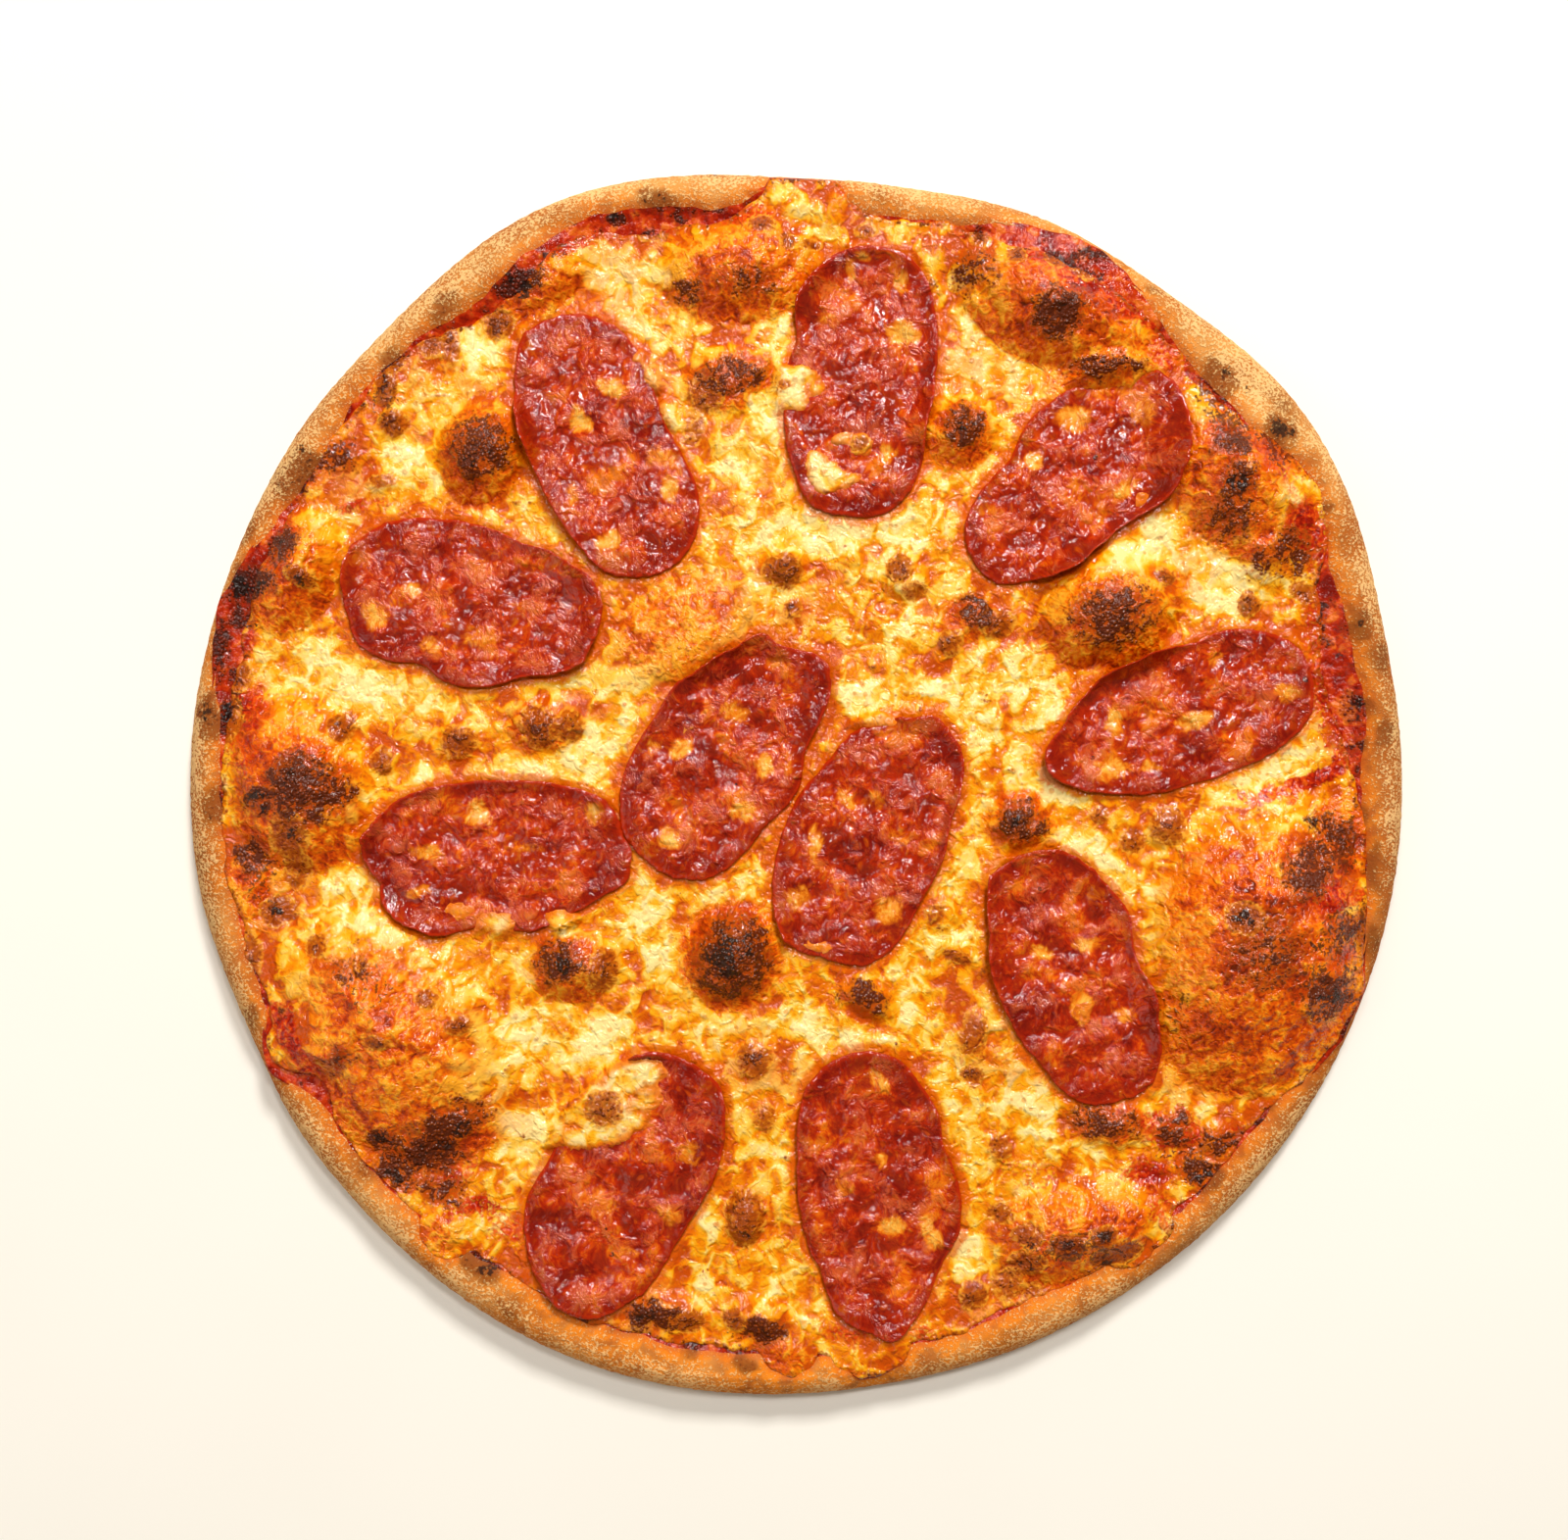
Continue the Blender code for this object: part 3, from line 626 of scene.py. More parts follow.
def doughMaterial():
    material, tree, shader, place = newMaterial("bakedDough", dough["gloss"])
    broad = noise(tree, place, dough["broadSize"], 2.0, 0.4, flat=False)
    middling = noise(tree, place, dough["middlingSize"], 2.0, 0.3, flat=False)
    powder = noise(tree, place, dough["powderSize"], 2.0, 0.1, 0.6, flat=False)
    tint = mix(tree, ramp(tree, broad, 0.38, 0.66), dough["tan"], dough["crumb"])
    tint = mix(tree, field(tree, "baked"), tint, dough["baked"])
    golden = times(tree, field(tree, "gold"), ramp(tree, middling, 0.3, 0.6))
    tint = mix(tree, golden, tint, dough["gold"])
    stained = times(tree, field(tree, "stain"), ramp(tree, powder, 0.2, 0.5))
    tint = mix(tree, stained, tint, dough["stain"])
    # soft smudges of the oven floor, under the flour
    smudge = total(tree, -0.35, (field(tree, "brown"), 1.0), (middling, 0.7))
    smudge = ramp(tree, smudge, 0.1, 0.66, 0.0, 0.72)
    tint = mix(tree, smudge, tint, dough["smudge"])
    cover = total(tree, -0.24, (powder, 1.0), (field(tree, "flour"), 0.2), (middling, 0.25), (smudge, -0.06))
    dusting = ramp(tree, cover, 0.42, 0.58, 0.0, 0.7)
    tint = mix(tree, dusting, tint, dough["flour"])
    crisp = total(tree, -0.32, (field(tree, "brown"), 1.0))
    toned = useGroup(tree, baked, Vector=place, Colour=tint, Brown=crisp, Char=field(tree, "char"),
                     Toasted=dough["toasted"], Dark=dough["dark"], Black=dough["black"], Size=0.9)
    height = total(tree, 0.0, (dusting, 0.14), (middling, 0.3), (powder, 0.2))
    rough = ramp(tree, field(tree, "stain"), 0.0, 1.0, 0.86, 0.4)
    finishMaterial(tree, shader, toned["Colour"], rough, height)
    return material


def buildDough():
    angle = np.arange(dough["around"]) * 360 / dough["around"]
    outline = outlineRadius(angle)
    cosA, sinA = np.cos(np.radians(angle)), np.sin(np.radians(angle))
    rings = []
    section = np.array(dough["section"])
    edgeShare, edgeHeight = section[0]
    for share in np.linspace(dough["topFrom"], edgeShare, dough["innerRings"]):
        x, y = share * outline * cosA, share * outline * sinA
        rings.append(np.stack([x, y, doughTop(x, y)], axis=-1))
    topEdge = rings[-1][:, 2]
    steps = np.hypot(np.diff(section[:, 0]) * 159, np.diff(section[:, 1]))
    length = np.concatenate([[0], np.cumsum(steps)])
    for step in np.linspace(0, length[-1], dough["edgeRings"])[1:]:
        share, level = np.interp(step, length, section[:, 0]), np.interp(step, length, section[:, 1])
        # the top of the section follows the swells of the rim, the foot stays flat
        lifted = level + (topEdge - edgeHeight) * float(smooth(np.array(level), 2.5, edgeHeight))
        grain = 0.22 * fractal(angle * outline / 57.3, np.full_like(angle, step), 1.6, 2, 31)
        grain = grain * min(1.0, level / 1.5)
        reach = share * outline - 0.25 + grain
        rings.append(np.stack([reach * cosA, reach * sinA, lifted], axis=-1))
    for share in np.linspace(dough["underFrom"], dough["middle"], dough["underRings"]):
        reach = share * outline
        rings.append(np.stack([reach * cosA, reach * sinA, np.zeros_like(reach)], axis=-1))
    points = np.concatenate(rings)
    x, y, z = points.T
    r, a = polar(x, y)
    past = r - sauceReach(a)
    above = smooth(z, 1.0, 8.0)
    brown = spots(x, y, dough["toast"], 1.0, 2.0, most=True) * above
    under = 1 - smooth(z, 0.0, 0.6)
    leopard = under * smooth(fractal(x, y, 14, 3, 51), 0.25, 0.7) * 0.75
    # scorched lower edge where the dough met the hot stone
    foot = (1 - smooth(z, 1.0, 4.5)) * (1 - under) * 0.25 * (1 + softNoise(x, y, 20, 5))
    flour = 0.15 + smooth(past, 0.0, 7.0) * (0.6 + 0.5 * softNoise(x, y, 22, 12))
    # paler where the oven was cooler, browner over the lower half
    bakedThrough = spread(0.3, a, dough["moreBaked"]) + 0.7 * fractal(x, y, 20, 3, 23)
    bakedThrough = bakedThrough + 0.3 * smooth(r / outlineRadius(a), 0.97, 1.0)
    gold = 0.85 * (1 - smooth(past, -1.0, 6.0 + 3.5 * softNoise(x, y, 7, 21)))
    fields = dict(
        flour=np.clip(spread(flour, a, dough["lessFlour"]), -0.5, 1),
        brown=np.maximum(np.maximum(brown, leopard), foot),
        char=spots(x, y, dough["char"], 1.0, 1.5, most=True) * above + 0.5 * leopard * (leopard > 0.6),
        baked=np.clip(bakedThrough, 0, 0.85),
        gold=np.clip(spread(gold, a, dough["moreGold"]), 0, 1) * above,
        stain=np.clip(1 - smooth(past, -1.5, 2.4 + 1.8 * fractal(x, y, 5, 2, 22)), 0, 1) * 0.8 * above,
    )
    faces = ringFaces(len(rings), dough["around"])[:, ::-1]
    last = (len(rings) - 1) * dough["around"]
    faces = np.concatenate([faces, capFaces(last, dough["around"])[:, ::-1]])
    meshObject("doughBase", points, faces, doughMaterial(), "dough", fields)
    print("dough:", len(faces), "faces")


# Sauce

sauce = dict(
    around=720, rings=40, shownFrom=0.86, hiddenShares=(0.02, 0.3, 0.6, 0.75, 0.83), hiddenDrop=0.4,
    gloss=0.32, broadSize=7.0, grainSize=1.2, pulpSize=2.6,
    pulp=((0.2, colour(124, 14, 0)), (0.42, colour(170, 32, 2)), (0.6, colour(200, 58, 10)),
          (0.8, colour(226, 110, 28))),
    toasted=colour(140, 40, 6), dark=colour(72, 20, 6), black=colour(26, 12, 8),
)


def sauceMaterial():
    material, tree, shader, place = newMaterial("tomatoSauce", sauce["gloss"])
    broad = noise(tree, place, sauce["broadSize"], 2.0, 0.6)
    grainy = noise(tree, place, sauce["grainSize"], 2.0)
    pulp = cells(tree, place, sauce["pulpSize"], "SMOOTH_F1", 0.4)
    lump = tree.nodes.new("ShaderNodeSeparateColor")
    feed(tree, lump.inputs[0], pulp.outputs["Color"])
    tone = total(tree, -0.5, (broad, 1.2), (lump.outputs[0], 0.35), (grainy, 0.45))
    tint = tones(tree, tone, *sauce["pulp"])
    burnt = useGroup(tree, baked, Vector=place, Colour=tint, Brown=field(tree, "brown"),
                     Char=field(tree, "char"), Toasted=sauce["toasted"], Dark=sauce["dark"],
                     Black=sauce["black"], Size=0.9)
    height = total(tree, burnt["Height"], (pulp.outputs["Distance"], -0.3), (grainy, 0.35), (broad, 0.5))
    rough = total(tree, ramp(tree, broad, 0.35, 0.7, 0.1, 0.24), (burnt["Dry"], 0.15))
    finishMaterial(tree, shader, burnt["Colour"], rough, height)
    return material


def buildSauce():
    angle = np.arange(sauce["around"]) * 360 / sauce["around"]
    cosA, sinA = np.cos(np.radians(angle)), np.sin(np.radians(angle))
    reach = sauceReach(angle)
    rings = []
    for share in (*sauce["hiddenShares"], *np.linspace(sauce["shownFrom"], 1.0, sauce["rings"])):
        x, y = share * reach * cosA, share * reach * sinA
        level = sauceTop(x, y) - (sauce["hiddenDrop"] if share < sauce["shownFrom"] else 0.0)
        rings.append(np.stack([x, y, level], axis=-1))
    x, y = (reach + 0.25) * cosA, (reach + 0.25) * sinA
    rings.append(np.stack([x, y, rings[-1][:, 2] - 0.6], axis=-1))
    points = np.concatenate(rings)
    faces = ringFaces(len(rings), sauce["around"])[:, ::-1]
    x, y = points[:, :2].T
    # baked places of the cheese and the rim reach over the sauce
    rows = cheese["brownSpots"] + dough["toast"]
    fields = dict(
        brown=np.maximum(spots(x, y, rows, 0.7, 1.6, most=True),
                         0.75 * smooth(fractal(x, y, 7, 3, 61), 0.2, 0.8)),
        char=np.maximum(spots(x, y, cheese["charSpots"] + dough["char"], 0.9, 1.4, most=True),
                        0.5 * smooth(fractal(x, y, 5, 2, 62), 0.5, 0.9)),
    )
    meshObject("tomatoSauceLayer", points, faces, sauceMaterial(), "sauce", fields)
    print("sauce:", len(faces), "faces")


# Cheese

cheese = dict(
    cells=306, gloss=0.43, wideSize=12.0, curdSize=5.4, strandSize=2.3, grainSize=1.15,
    # from oily orange to thick white curd
    curd=((0.05, colour(200, 76, 0)), (0.2, colour(228, 112, 0)), (0.35, colour(242, 142, 0)),
          (0.5, colour(249, 172, 22)), (0.66, colour(254, 202, 80)), (0.9, colour(255, 228, 150))),
    # the baked skin of the domes
    skin=((0.12, colour(112, 30, 0)), (0.3, colour(174, 50, 0)), (0.45, colour(216, 80, 0)),
          (0.6, colour(238, 116, 2)), (0.78, colour(250, 164, 34))),
    # tomato under and in the skin
    tomato=((0.3, colour(138, 14, 0)), (0.48, colour(190, 38, 2)), (0.62, colour(220, 76, 10)),
            (0.8, colour(240, 132, 36))),
    blush=colour(240, 158, 78), thin=colour(226, 114, 18), freckle=colour(186, 74, 0),
    toasted=colour(172, 76, 8), dark=colour(96, 34, 6), black=colour(38, 20, 11), pore=colour(234, 136, 16),
    # lip: the colour of the folds' tops, partly the cheese's own yellow and partly painted light
    lip=colour(255, 196, 72), soaked=colour(216, 92, 4),
    # skin baked deep orange to red-brown: x, y, half length, half width, turn, strength
    deepBaked=(
        (120, -42, 26, 20, 78, 0.9), (132, -22, 14, 13, 0, 0.8), (140, -50, 12, 12, 0, 0.7),
        (142, -14, 10, 13, 0, 0.7), (104, -24, 16, 12, 0, 0.35), (112, -60, 18, 12, 0, 0.6),
        (130, -64, 14, 9, 20, 0.5), (-128, 0, 16, 14, 0, 0.8), (-95, -93, 22, 12, 15, 0.8),
        (-108, -60, 24, 14, -40, 0.4), (67, 122, 17, 13, 0, 0.85), (112, 84, 14, 18, -30, 0.7),
        (82, 44, 14, 11, 12, 0.6), (-82, 88, 11, 10, 0, 0.8), (-17, 106, 13, 9, 15, 0.8),
        (-16, -43, 16, 16, 0, 0.85), (-14, 132, 18, 9, 0, 0.6), (78, -116, 20, 8, 14, 0.6),
        (82, -88, 12, 7, 0, 0.5), (-72, 130, 14, 7, 20, 0.7), (-128, 82, 12, 8, 20, 0.7),
        (-136, 56, 14, 14, 0, 0.7), (-142, 22, 8, 16, 0, 0.6), (-140, -28, 10, 16, 0, 0.6),
        (-34, -138, 14, 6, 0, 0.6), (-8, -141, 12, 6, 0, 0.5), (58, -9, 10, 9, 0, 0.7),
        (42, 92, 10, 9, 0, 0.7), (-62, -46, 13, 10, 0, 0.7), (46, 44, 9, 7, 0, 0.6),
        (-66, 14, 12, 8, 0, 0.6), (104, -94, 16, 9, -20, 0.6), (50, -68, 9, 12, 0, 0.4),
        (56, -112, 7, 16, 0, 0.5),
    ),
    # dark nets of tiny burnt specks: x, y, half length, half width, turn, strength
    nets=(
        (112, 91, 7, 9, 0, 0.9), (124, 87, 5, 8, 20, 0.8), (108, 101, 6, 5, 0, 0.8),
        (142, -15, 6, 10, 0, 0.9), (149, -36, 4, 10, 0, 0.8), (140, -38, 8, 9, 0, 0.7),
        (132, -22, 9, 8, 50, 0.8), (120, -43, 10, 8, -10, 0.35), (-119, 87, 7, 4, 0, 0.8),
        (-126, 83, 6, 5, 0, 0.9), (-133, 61, 7, 7, 30, 0.8), (-145, 52, 5, 9, 0, 0.9),
        (-66, 138, 10, 4, 20, 0.7), (-127, 0, 12, 10, 20, 0.75), (-97, -97, 13, 7, 0, 0.7),
        (72, -120, 15, 5, 0, 0.7), (-139, -22, 6, 12, 0, 0.5), (-37, -139, 9, 4, 0, 0.6),
        (67, 122, 9, 8, 0, 0.7), (-107, 101, 4, 9, 0, 0.5), (134, -52, 10, 7, 20, 0.7),
        (-147, 22, 4, 10, 0, 0.6), (-12, -142, 9, 4, 0, 0.5), (100, -95, 10, 6, -20, 0.5),
        (-84, 129, 8, 4, 20, 0.6), (-110, -52, 12, 8, -40, 0.35), (100, -60, 14, 10, 0, 0.3),
        (82, 44, 9, 8, 0, 0.4),
    ),
    # folds of the skin: half width, height, points
    folds=(
        (3.4, 0.7, ((-52, 29), (-42, 27), (-31, 31), (-21, 37), (-14, 44), (-11, 53))),
        (2.6, 1.0, ((-121, -50), (-108, -60), (-98, -66), (-86, -72))),
        (3.0, 1.2, ((-122, -74), (-116, -66), (-108, -58), (-104, -50))),
        (2.4, 0.9, ((-84, -60), (-80, -70), (-84, -80))),
        (2.2, 0.9, ((-128, 12), (-120, 4), (-116, -8))),
        (2.2, 0.8, ((108, -26), (120, -30), (134, -28), (144, -32))),
        (2.0, 0.8, ((-26, 110), (-17, 104), (-9, 108))),
        (2.2, 0.9, ((-74, 20), (-68, 14), (-60, 18))),
    ),
    # small round beads of browned cheese, from their dips to their tops
    bead=((0.22, colour(112, 40, 2)), (0.4, colour(164, 70, 4)), (0.56, colour(202, 106, 12)),
          (0.75, colour(240, 160, 44))),
    largestBead=5.5,
    # the cheese's rim below its top: out, down
    skirt=((0.28, 0.3), (0.3, 0.75), (-0.2, 1.5)),
    # runs of sauce over the cheese
    sauceRuns=(
        (4.0, 1.0, ((86, 128), (95, 119), (103, 113), (104, 108), (110, 104), (117, 99))),
        (4.5, 1.0, ((139, 60), (141, 44), (139, 30), (141, 18))),
        (2.6, 0.9, ((141, 18), (143, 9), (141, 4), (133, 0), (122, -3))),
        (3.5, 0.9, ((50, 147), (64, 145), (76, 138))),
        (3.0, 0.8, ((-72, 134), (-62, 141), (-50, 145))),
        (3.0, 0.8, ((-92, 122), (-85, 125), (-78, 125))),
        (3.0, 0.8, ((-148, 40), (-147, 28), (-148, 14))),
        (3.0, 0.8, ((-135, -58), (-130, -68), (-124, -80))),
    ),
    # blisters that the solid has too: x, y, half length, half width, turn, height
    blisters=(
        (58, -9.7, 9, 8, 0, 4), (-13.4, -113, 5, 8, 0, 3.6), (18.5, -55.7, 9, 5, -35, 3.2),
        (-3.2, 56.7, 6, 6, 0, 3), (28, 53.7, 6, 6, 0, 3), (48.7, 43, 8, 5, -10, 2.4),
        (-88, 11, 6, 6, 0, 2.6), (-65.8, 15.3, 10, 8, 20, 2.8), (96.5, -11, 6, 6, 0, 2.4),
        (-10.9, -72.3, 6, 6, 0, 2.4), (-17.3, 106, 13, 9, 15, 2.6), (-34, -138, 10, 6, 0, 3),
        (-10, -139, 9, 6, 0, 3), (82, -88, 10, 8, 0, 2.6), (122, 57, 8, 8, 0, 3),
    ),
    # small ones that only show here
    smallBlisters=(
        (40, 37, 4, 4, 0, 1.8), (88, -14.6, 3, 3, 0, 1.2), (79, -8, 2.6, 2.4, 0, 0.9),
        (37.5, -33, 6, 5, -40, 1.8), (43, -44, 6, 3, -30, 1.4), (46, -66, 4, 8, -15, 1.6),
        (46, -133, 5, 4, 0, 1.8), (-105, 94, 4, 4, 0, 2), (-107, 104, 3, 6, 0, 1.6),
        (-95, 114, 4, 4, 0, 1.5), (-90, 115, 3, 7, 0, 1.6), (-78, 120, 4, 4, 0, 1.6),
        (-108, 79, 5, 3, 0, 1.2), (-119, 85, 6, 4, 0, 1.5), (-108, 6, 4, 4, 0, 1.6),
        (-118, 15, 4, 4, 0, 1.6), (-58, 15, 4, 4, 0, 1.6), (-1, 46, 3.5, 3.5, 0, 1.2),
        (20, 42, 5, 4, 0, 1), (52, 16, 3, 3, 0, 0.9), (118, 47, 3.5, 4, 0, 1.6), (96, 54, 3, 3, 0, 1.2),
        (-30, 147, 2.5, 2.5, 0, 1.2), (-9, 145, 4, 3, 0, 1.2), (18, 144, 3, 3, 0, 1.2),
        (48, 142, 3.5, 3.5, 0, 1.3), (-38, 143, 3, 3, 0, 1), (-143, -26, 6, 7, 0, 1.6),
        (-92, -117, 6, 6, 0, 1.8), (-3, -149, 7, 5, 0, 1.2), (14, 154, 6, 5, 0, 1.4),
        (0, 154, 6, 6, 0, 1.2), (60, -133, 6, 6, 0, 1.4), (-107, -64, 4, 3, -60, 1.4),
        (-87, -62, 4, 3, 0, 1.2), (-50, -47, 5, 6, 0, 1.4), (53, -95, 4, 4, 0, 1.2),
        (98, -90, 6, 5, 0, 1.5), (110, -92, 5, 5, 0, 1.3), (-8, -87, 4, 5, 0, 1),
        (67, 136, 3, 3, 0, 0.9), (57, 137, 3, 3, 0, 0.9), (-145, 28, 4, 4, 0, 1.2),
        (-95, -55, 3, 3, 0, 1), (14, 60, 4, 4, 0, 0.8), (-46, 147, 3, 2.5, 0, 1),
        (82, 108, 12, 5, 5, 2.4), (-128, 54, 5, 3, -40, 1.4),
    ),
    # brown tops: x, y, half length, half width, turn, strength
    brownSpots=(
        (-82, 87, 10, 9, 60, 0.95), (-16.5, -45, 12, 11, 60, 1.15), (82, 44, 13, 10, 12, 0.72),
        (86, 44, 8, 7, 0, 0.6), (58, -9.7, 7, 6, 0, 1.05), (43, 93, 6.5, 6, 0, 1.05),
        (-61, -46, 8, 7, 0, 0.85), (-62, -47, 4, 4, 0, 1), (-13.4, -113, 5, 8, 0, 0.95),
        (18.5, -55.7, 8, 4, -35, 0.95), (-3.2, 55.5, 5.5, 4.5, 0, 0.85), (27, 56, 4, 4, 0, 0.9),
        (47, 45, 6, 5, -10, 1.05), (52, 42, 5, 4, 0, 0.8), (-88, 11, 5, 4.5, 0, 0.9),
        (-67, 15, 5, 6, 10, 0.9), (-59, 15, 4, 4.5, 0, 0.7), (97, -11, 5, 5, 0, 0.7),
        (88, -15, 3.4, 3.4, 0, 0.7), (79, -8, 2.6, 2.6, 0, 0.7), (-10.9, -72, 5, 5, 0, 0.8),
        (-17, 106, 11, 6, 15, 0.75), (-24, 101, 5, 5, 0, 0.7), (-37, -138, 8, 4.5, -5, 1.1),
        (-28, -140, 4, 3, 0, 0.8), (-16, -139, 3, 3, 0, 0.9), (-8, -142, 6, 4, -10, 1.05),
        (80, -88, 10, 5, -8, 0.8), (67, 121, 7, 7.5, 0, 0.9), (114, -34, 5, 4, -10, 1.05),
        (132, -22, 9, 8, 50, 0.8), (120, -43, 13, 12, 0, 0.5), (141, -38, 7, 4, 0, 0.75),
        (137, -54, 9, 6.5, 25, 0.95), (139, -13, 9, 5, -30, 0.7), (148, -39, 4, 7, 0, 0.8),
        (-125, -3, 12, 8, 20, 0.95), (-130, 3, 6, 6, 0, 0.9), (-138, -4, 6, 4, 0, 0.8),
        (-131, -13, 5, 7, 0, 0.8), (-142, -18, 6, 5, 0, 0.8), (-130, -22, 4, 6, 0, 0.6),
        (-118, 15, 3.5, 4, 0, 0.95), (-108, 6, 3, 4, 0, 0.8), (-90, -88, 13, 6, 25, 0.85),
        (-95, -96, 9, 6, 0, 1), (-107, -92, 6, 4, 0, 0.9), (-104, -101, 7, 4, -40, 1.05),
        (-92, -106, 7, 5, 0, 0.8), (-115, -48, 9, 4, 0, 0.55), (-124, -42, 3, 3, 0, 0.8),
        (-135, -33, 5, 4, 0, 1), (-142, -46, 3, 8, 0, 0.7), (-87, -62, 4, 2.5, 0, 0.85),
        (-107, -66, 4, 2, 0, 0.8), (-95, -55, 3, 2.5, 0, 0.8), (-118, -71, 7, 4, 30, 0.5),
        (-105, 94, 4, 3.5, 0, 0.95), (-107, 104, 3, 6, 0, 0.95), (-105, 110, 3, 3, 0, 0.8),
        (-95, 114, 3, 3, 0, 0.8), (-90, 115, 2.5, 6, 0, 0.85), (-78, 120, 4, 4, 0, 0.9),
        (-108, 79, 4, 2, 0, 0.7), (-120, 85, 7, 3, 0, 0.85), (-128, 83, 6, 4, 0, 0.9),
        (-72, 130, 9, 4, 15, 0.9), (-82, 131, 5, 3, 0, 0.85), (-30, 147, 2.5, 2.5, 0, 0.95),
        (-9, 145, 3.5, 2.5, 0, 0.9), (-38, 143, 4, 2, 0, 0.7), (-47, 147, 3, 2, 0, 0.9),
        (-2, 141, 2.5, 2, 0, 0.9), (4, 140, 3, 1.5, 0, 0.8), (18, 144, 3, 2.5, 0, 0.8),
        (48, 142, 3, 3, 0, 0.8), (-28, 128, 6, 4, 0, 0.7), (-12, 130, 10, 5, 0, 0.5),
        (46, 133, 7, 7, 0, 0.6), (67, 136, 3, 3, 0, 0.85), (57, 137, 3, 3, 0, 0.8),
        (77, 137, 4, 3, 0, 0.7), (75, 133, 4, 3, 0, 0.6), (80, 108, 12, 4, 5, 0.75),
        (112, 88, 6, 4, 0, 0.9), (114, 78, 6, 5, 0, 1), (112, 69, 10, 7, 0, 0.6),
        (128, 60, 8, 8, 0, 0.65), (121, 57, 6, 5, 0, 0.6), (118, 47, 3, 3.5, 0, 0.9),
        (96, 54, 3, 2.5, 0, 0.8), (132, 50, 3, 3, 0, 0.8), (40, 37, 3.5, 3.5, 0, 0.75),
        (-1, 46, 2.5, 2.5, 0, 0.8), (31, 50, 4, 3, 0, 0.5), (46, -65, 4, 6, -15, 0.75),
        (46, -76, 3, 3, 0, 0.8), (46, -133, 4, 4, 0, 0.85), (36, -34, 3, 3, 0, 0.5),
        (42, -45, 4, 2, -20, 0.8), (53, -95, 3, 3, 0, 0.7), (53, -112, 4, 3, 0, 0.6),
        (55, -130, 4, 5, 0, 0.6), (-50, -48, 4, 6, 0, 0.8), (60, -117, 4, 3, 0, 0.9),
        (70, -119, 5, 3.5, 0, 1), (79, -117, 4, 3, 0, 0.9), (79, -123, 3, 2.5, 0, 0.9),
        (85, -121, 5, 3.5, 0, 0.95), (60, -124, 5, 3, 0, 0.9), (98, -90, 6, 5, 20, 0.75),
        (110, -93, 6, 4, 0, 0.7), (105, -101, 6, 4, 0, 1), (62, -133, 4, 4, 0, 0.5),
        (-3, 104, 2.4, 1.6, 0, 0.6), (-8, -87, 3, 4, 0, 0.7), (-133, 62, 6, 5, 30, 0.85),
        (-140, 52, 7, 5, 20, 0.95), (-128, 54, 4, 3, -40, 0.9), (-145, 43, 4, 4, 0, 0.75),
        (-145, 28, 4, 4, 0, 0.75), (-148, 17, 4, 7, 0, 0.8), (16.5, 88.5, 2.8, 2.6, 0, 0.8),
        (-50, -84, 5.4, 5, 0, 0.75), (-27, 92, 3, 5, -20, 0.5),
    ),
    charSpots=(
        (-16.5, -45, 11, 10, 60, 0.66), (58, -9.7, 4.5, 4, 0, 0.5), (43, 93, 4.5, 4, 0, 0.5),
        (-61.5, -46.5, 4, 3.5, 0, 0.75), (-13.5, -115, 3, 5, 0, 0.5), (-82, 85, 7, 6, 0, 0.42),
        (85, 43, 6, 5, 0, 0.42), (67, 123, 5, 4, 0, 0.6), (65, 118, 4, 3, 0, 0.5),
        (134, -19, 6, 4, -20, 0.5), (114, -34, 4, 3, -10, 0.75), (122, -40, 6, 4, 0, 0.25),
        (140, -37, 3, 2.5, 0, 0.7), (137, -55, 6, 4, 25, 0.65), (133, -41, 3, 2, 0, 0.8),
        (148, -38, 3, 4, 0, 0.8), (132, -10, 7, 2, 0, 0.5), (140, -13, 6, 3, -30, 0.6),
        (143, -48, 5, 3, 0, 0.5), (-129, 2, 5, 5, 0, 0.75), (-126, -5, 7, 3, 20, 0.6),
        (-138, -4, 4, 3, 0, 0.7), (-131, -12, 3, 5, 0, 0.6), (-142, -17, 4, 3, 0, 0.4),
        (-135, -33, 4, 3, 0, 0.75), (-94, -95, 7, 4, 10, 0.65), (-87, -90, 8, 4, 30, 0.42),
        (-107, -92, 4, 3, 0, 0.7), (-104, -102, 5, 2.5, -40, 0.95), (-98, -98, 6, 3, 0, 0.6),
        (-94, -109, 4, 2, 0, 0.6), (-71, 128, 5, 3.5, 0, 0.85), (-75, 132, 5, 3, 20, 0.6),
        (-82, 131, 4, 2.5, 0, 0.7), (-107, 104, 2, 5.5, 0, 0.75), (-127, 84, 5, 3, 0, 0.55),
        (-119, 86, 5, 2.5, 0, 0.55), (112, 88, 4, 3, 0, 0.7), (113.5, 78, 4.5, 3.5, 0, 0.95),
        (108, 95, 5, 4, 0, 0.5), (119, 90, 5, 5, 0, 0.45), (125, 84, 5, 5, 0, 0.35),
        (46, 46, 4, 3, 0, 0.55), (-38, -139, 6, 3, 0, 0.6), (-8, -142, 4, 2.5, 0, 0.5),
        (70, -119, 4, 2.5, 0, 0.9), (60, -118, 3, 2, 0, 0.7), (79, -117, 4, 2.5, 0, 0.7),
        (80, -123, 3, 2, 0, 0.7), (60, -124, 4, 2, 0, 0.7), (85, -121, 3, 2, 0, 0.6),
        (106, -102, 4, 3, 0, 0.8), (-144, 51, 4, 4, 0, 0.9), (-138, 51, 3, 3, 0, 0.8),
        (-133, 63, 4, 3, 0, 0.6), (-128, 53, 2, 3, 0, 0.8), (-142, 42, 3, 3, 0, 0.7),
        (-148, 19, 3, 5, 0, 0.7), (-2, 141, 2, 1.5, 0, 0.7), (-47, 147, 2, 1.5, 0, 0.8),
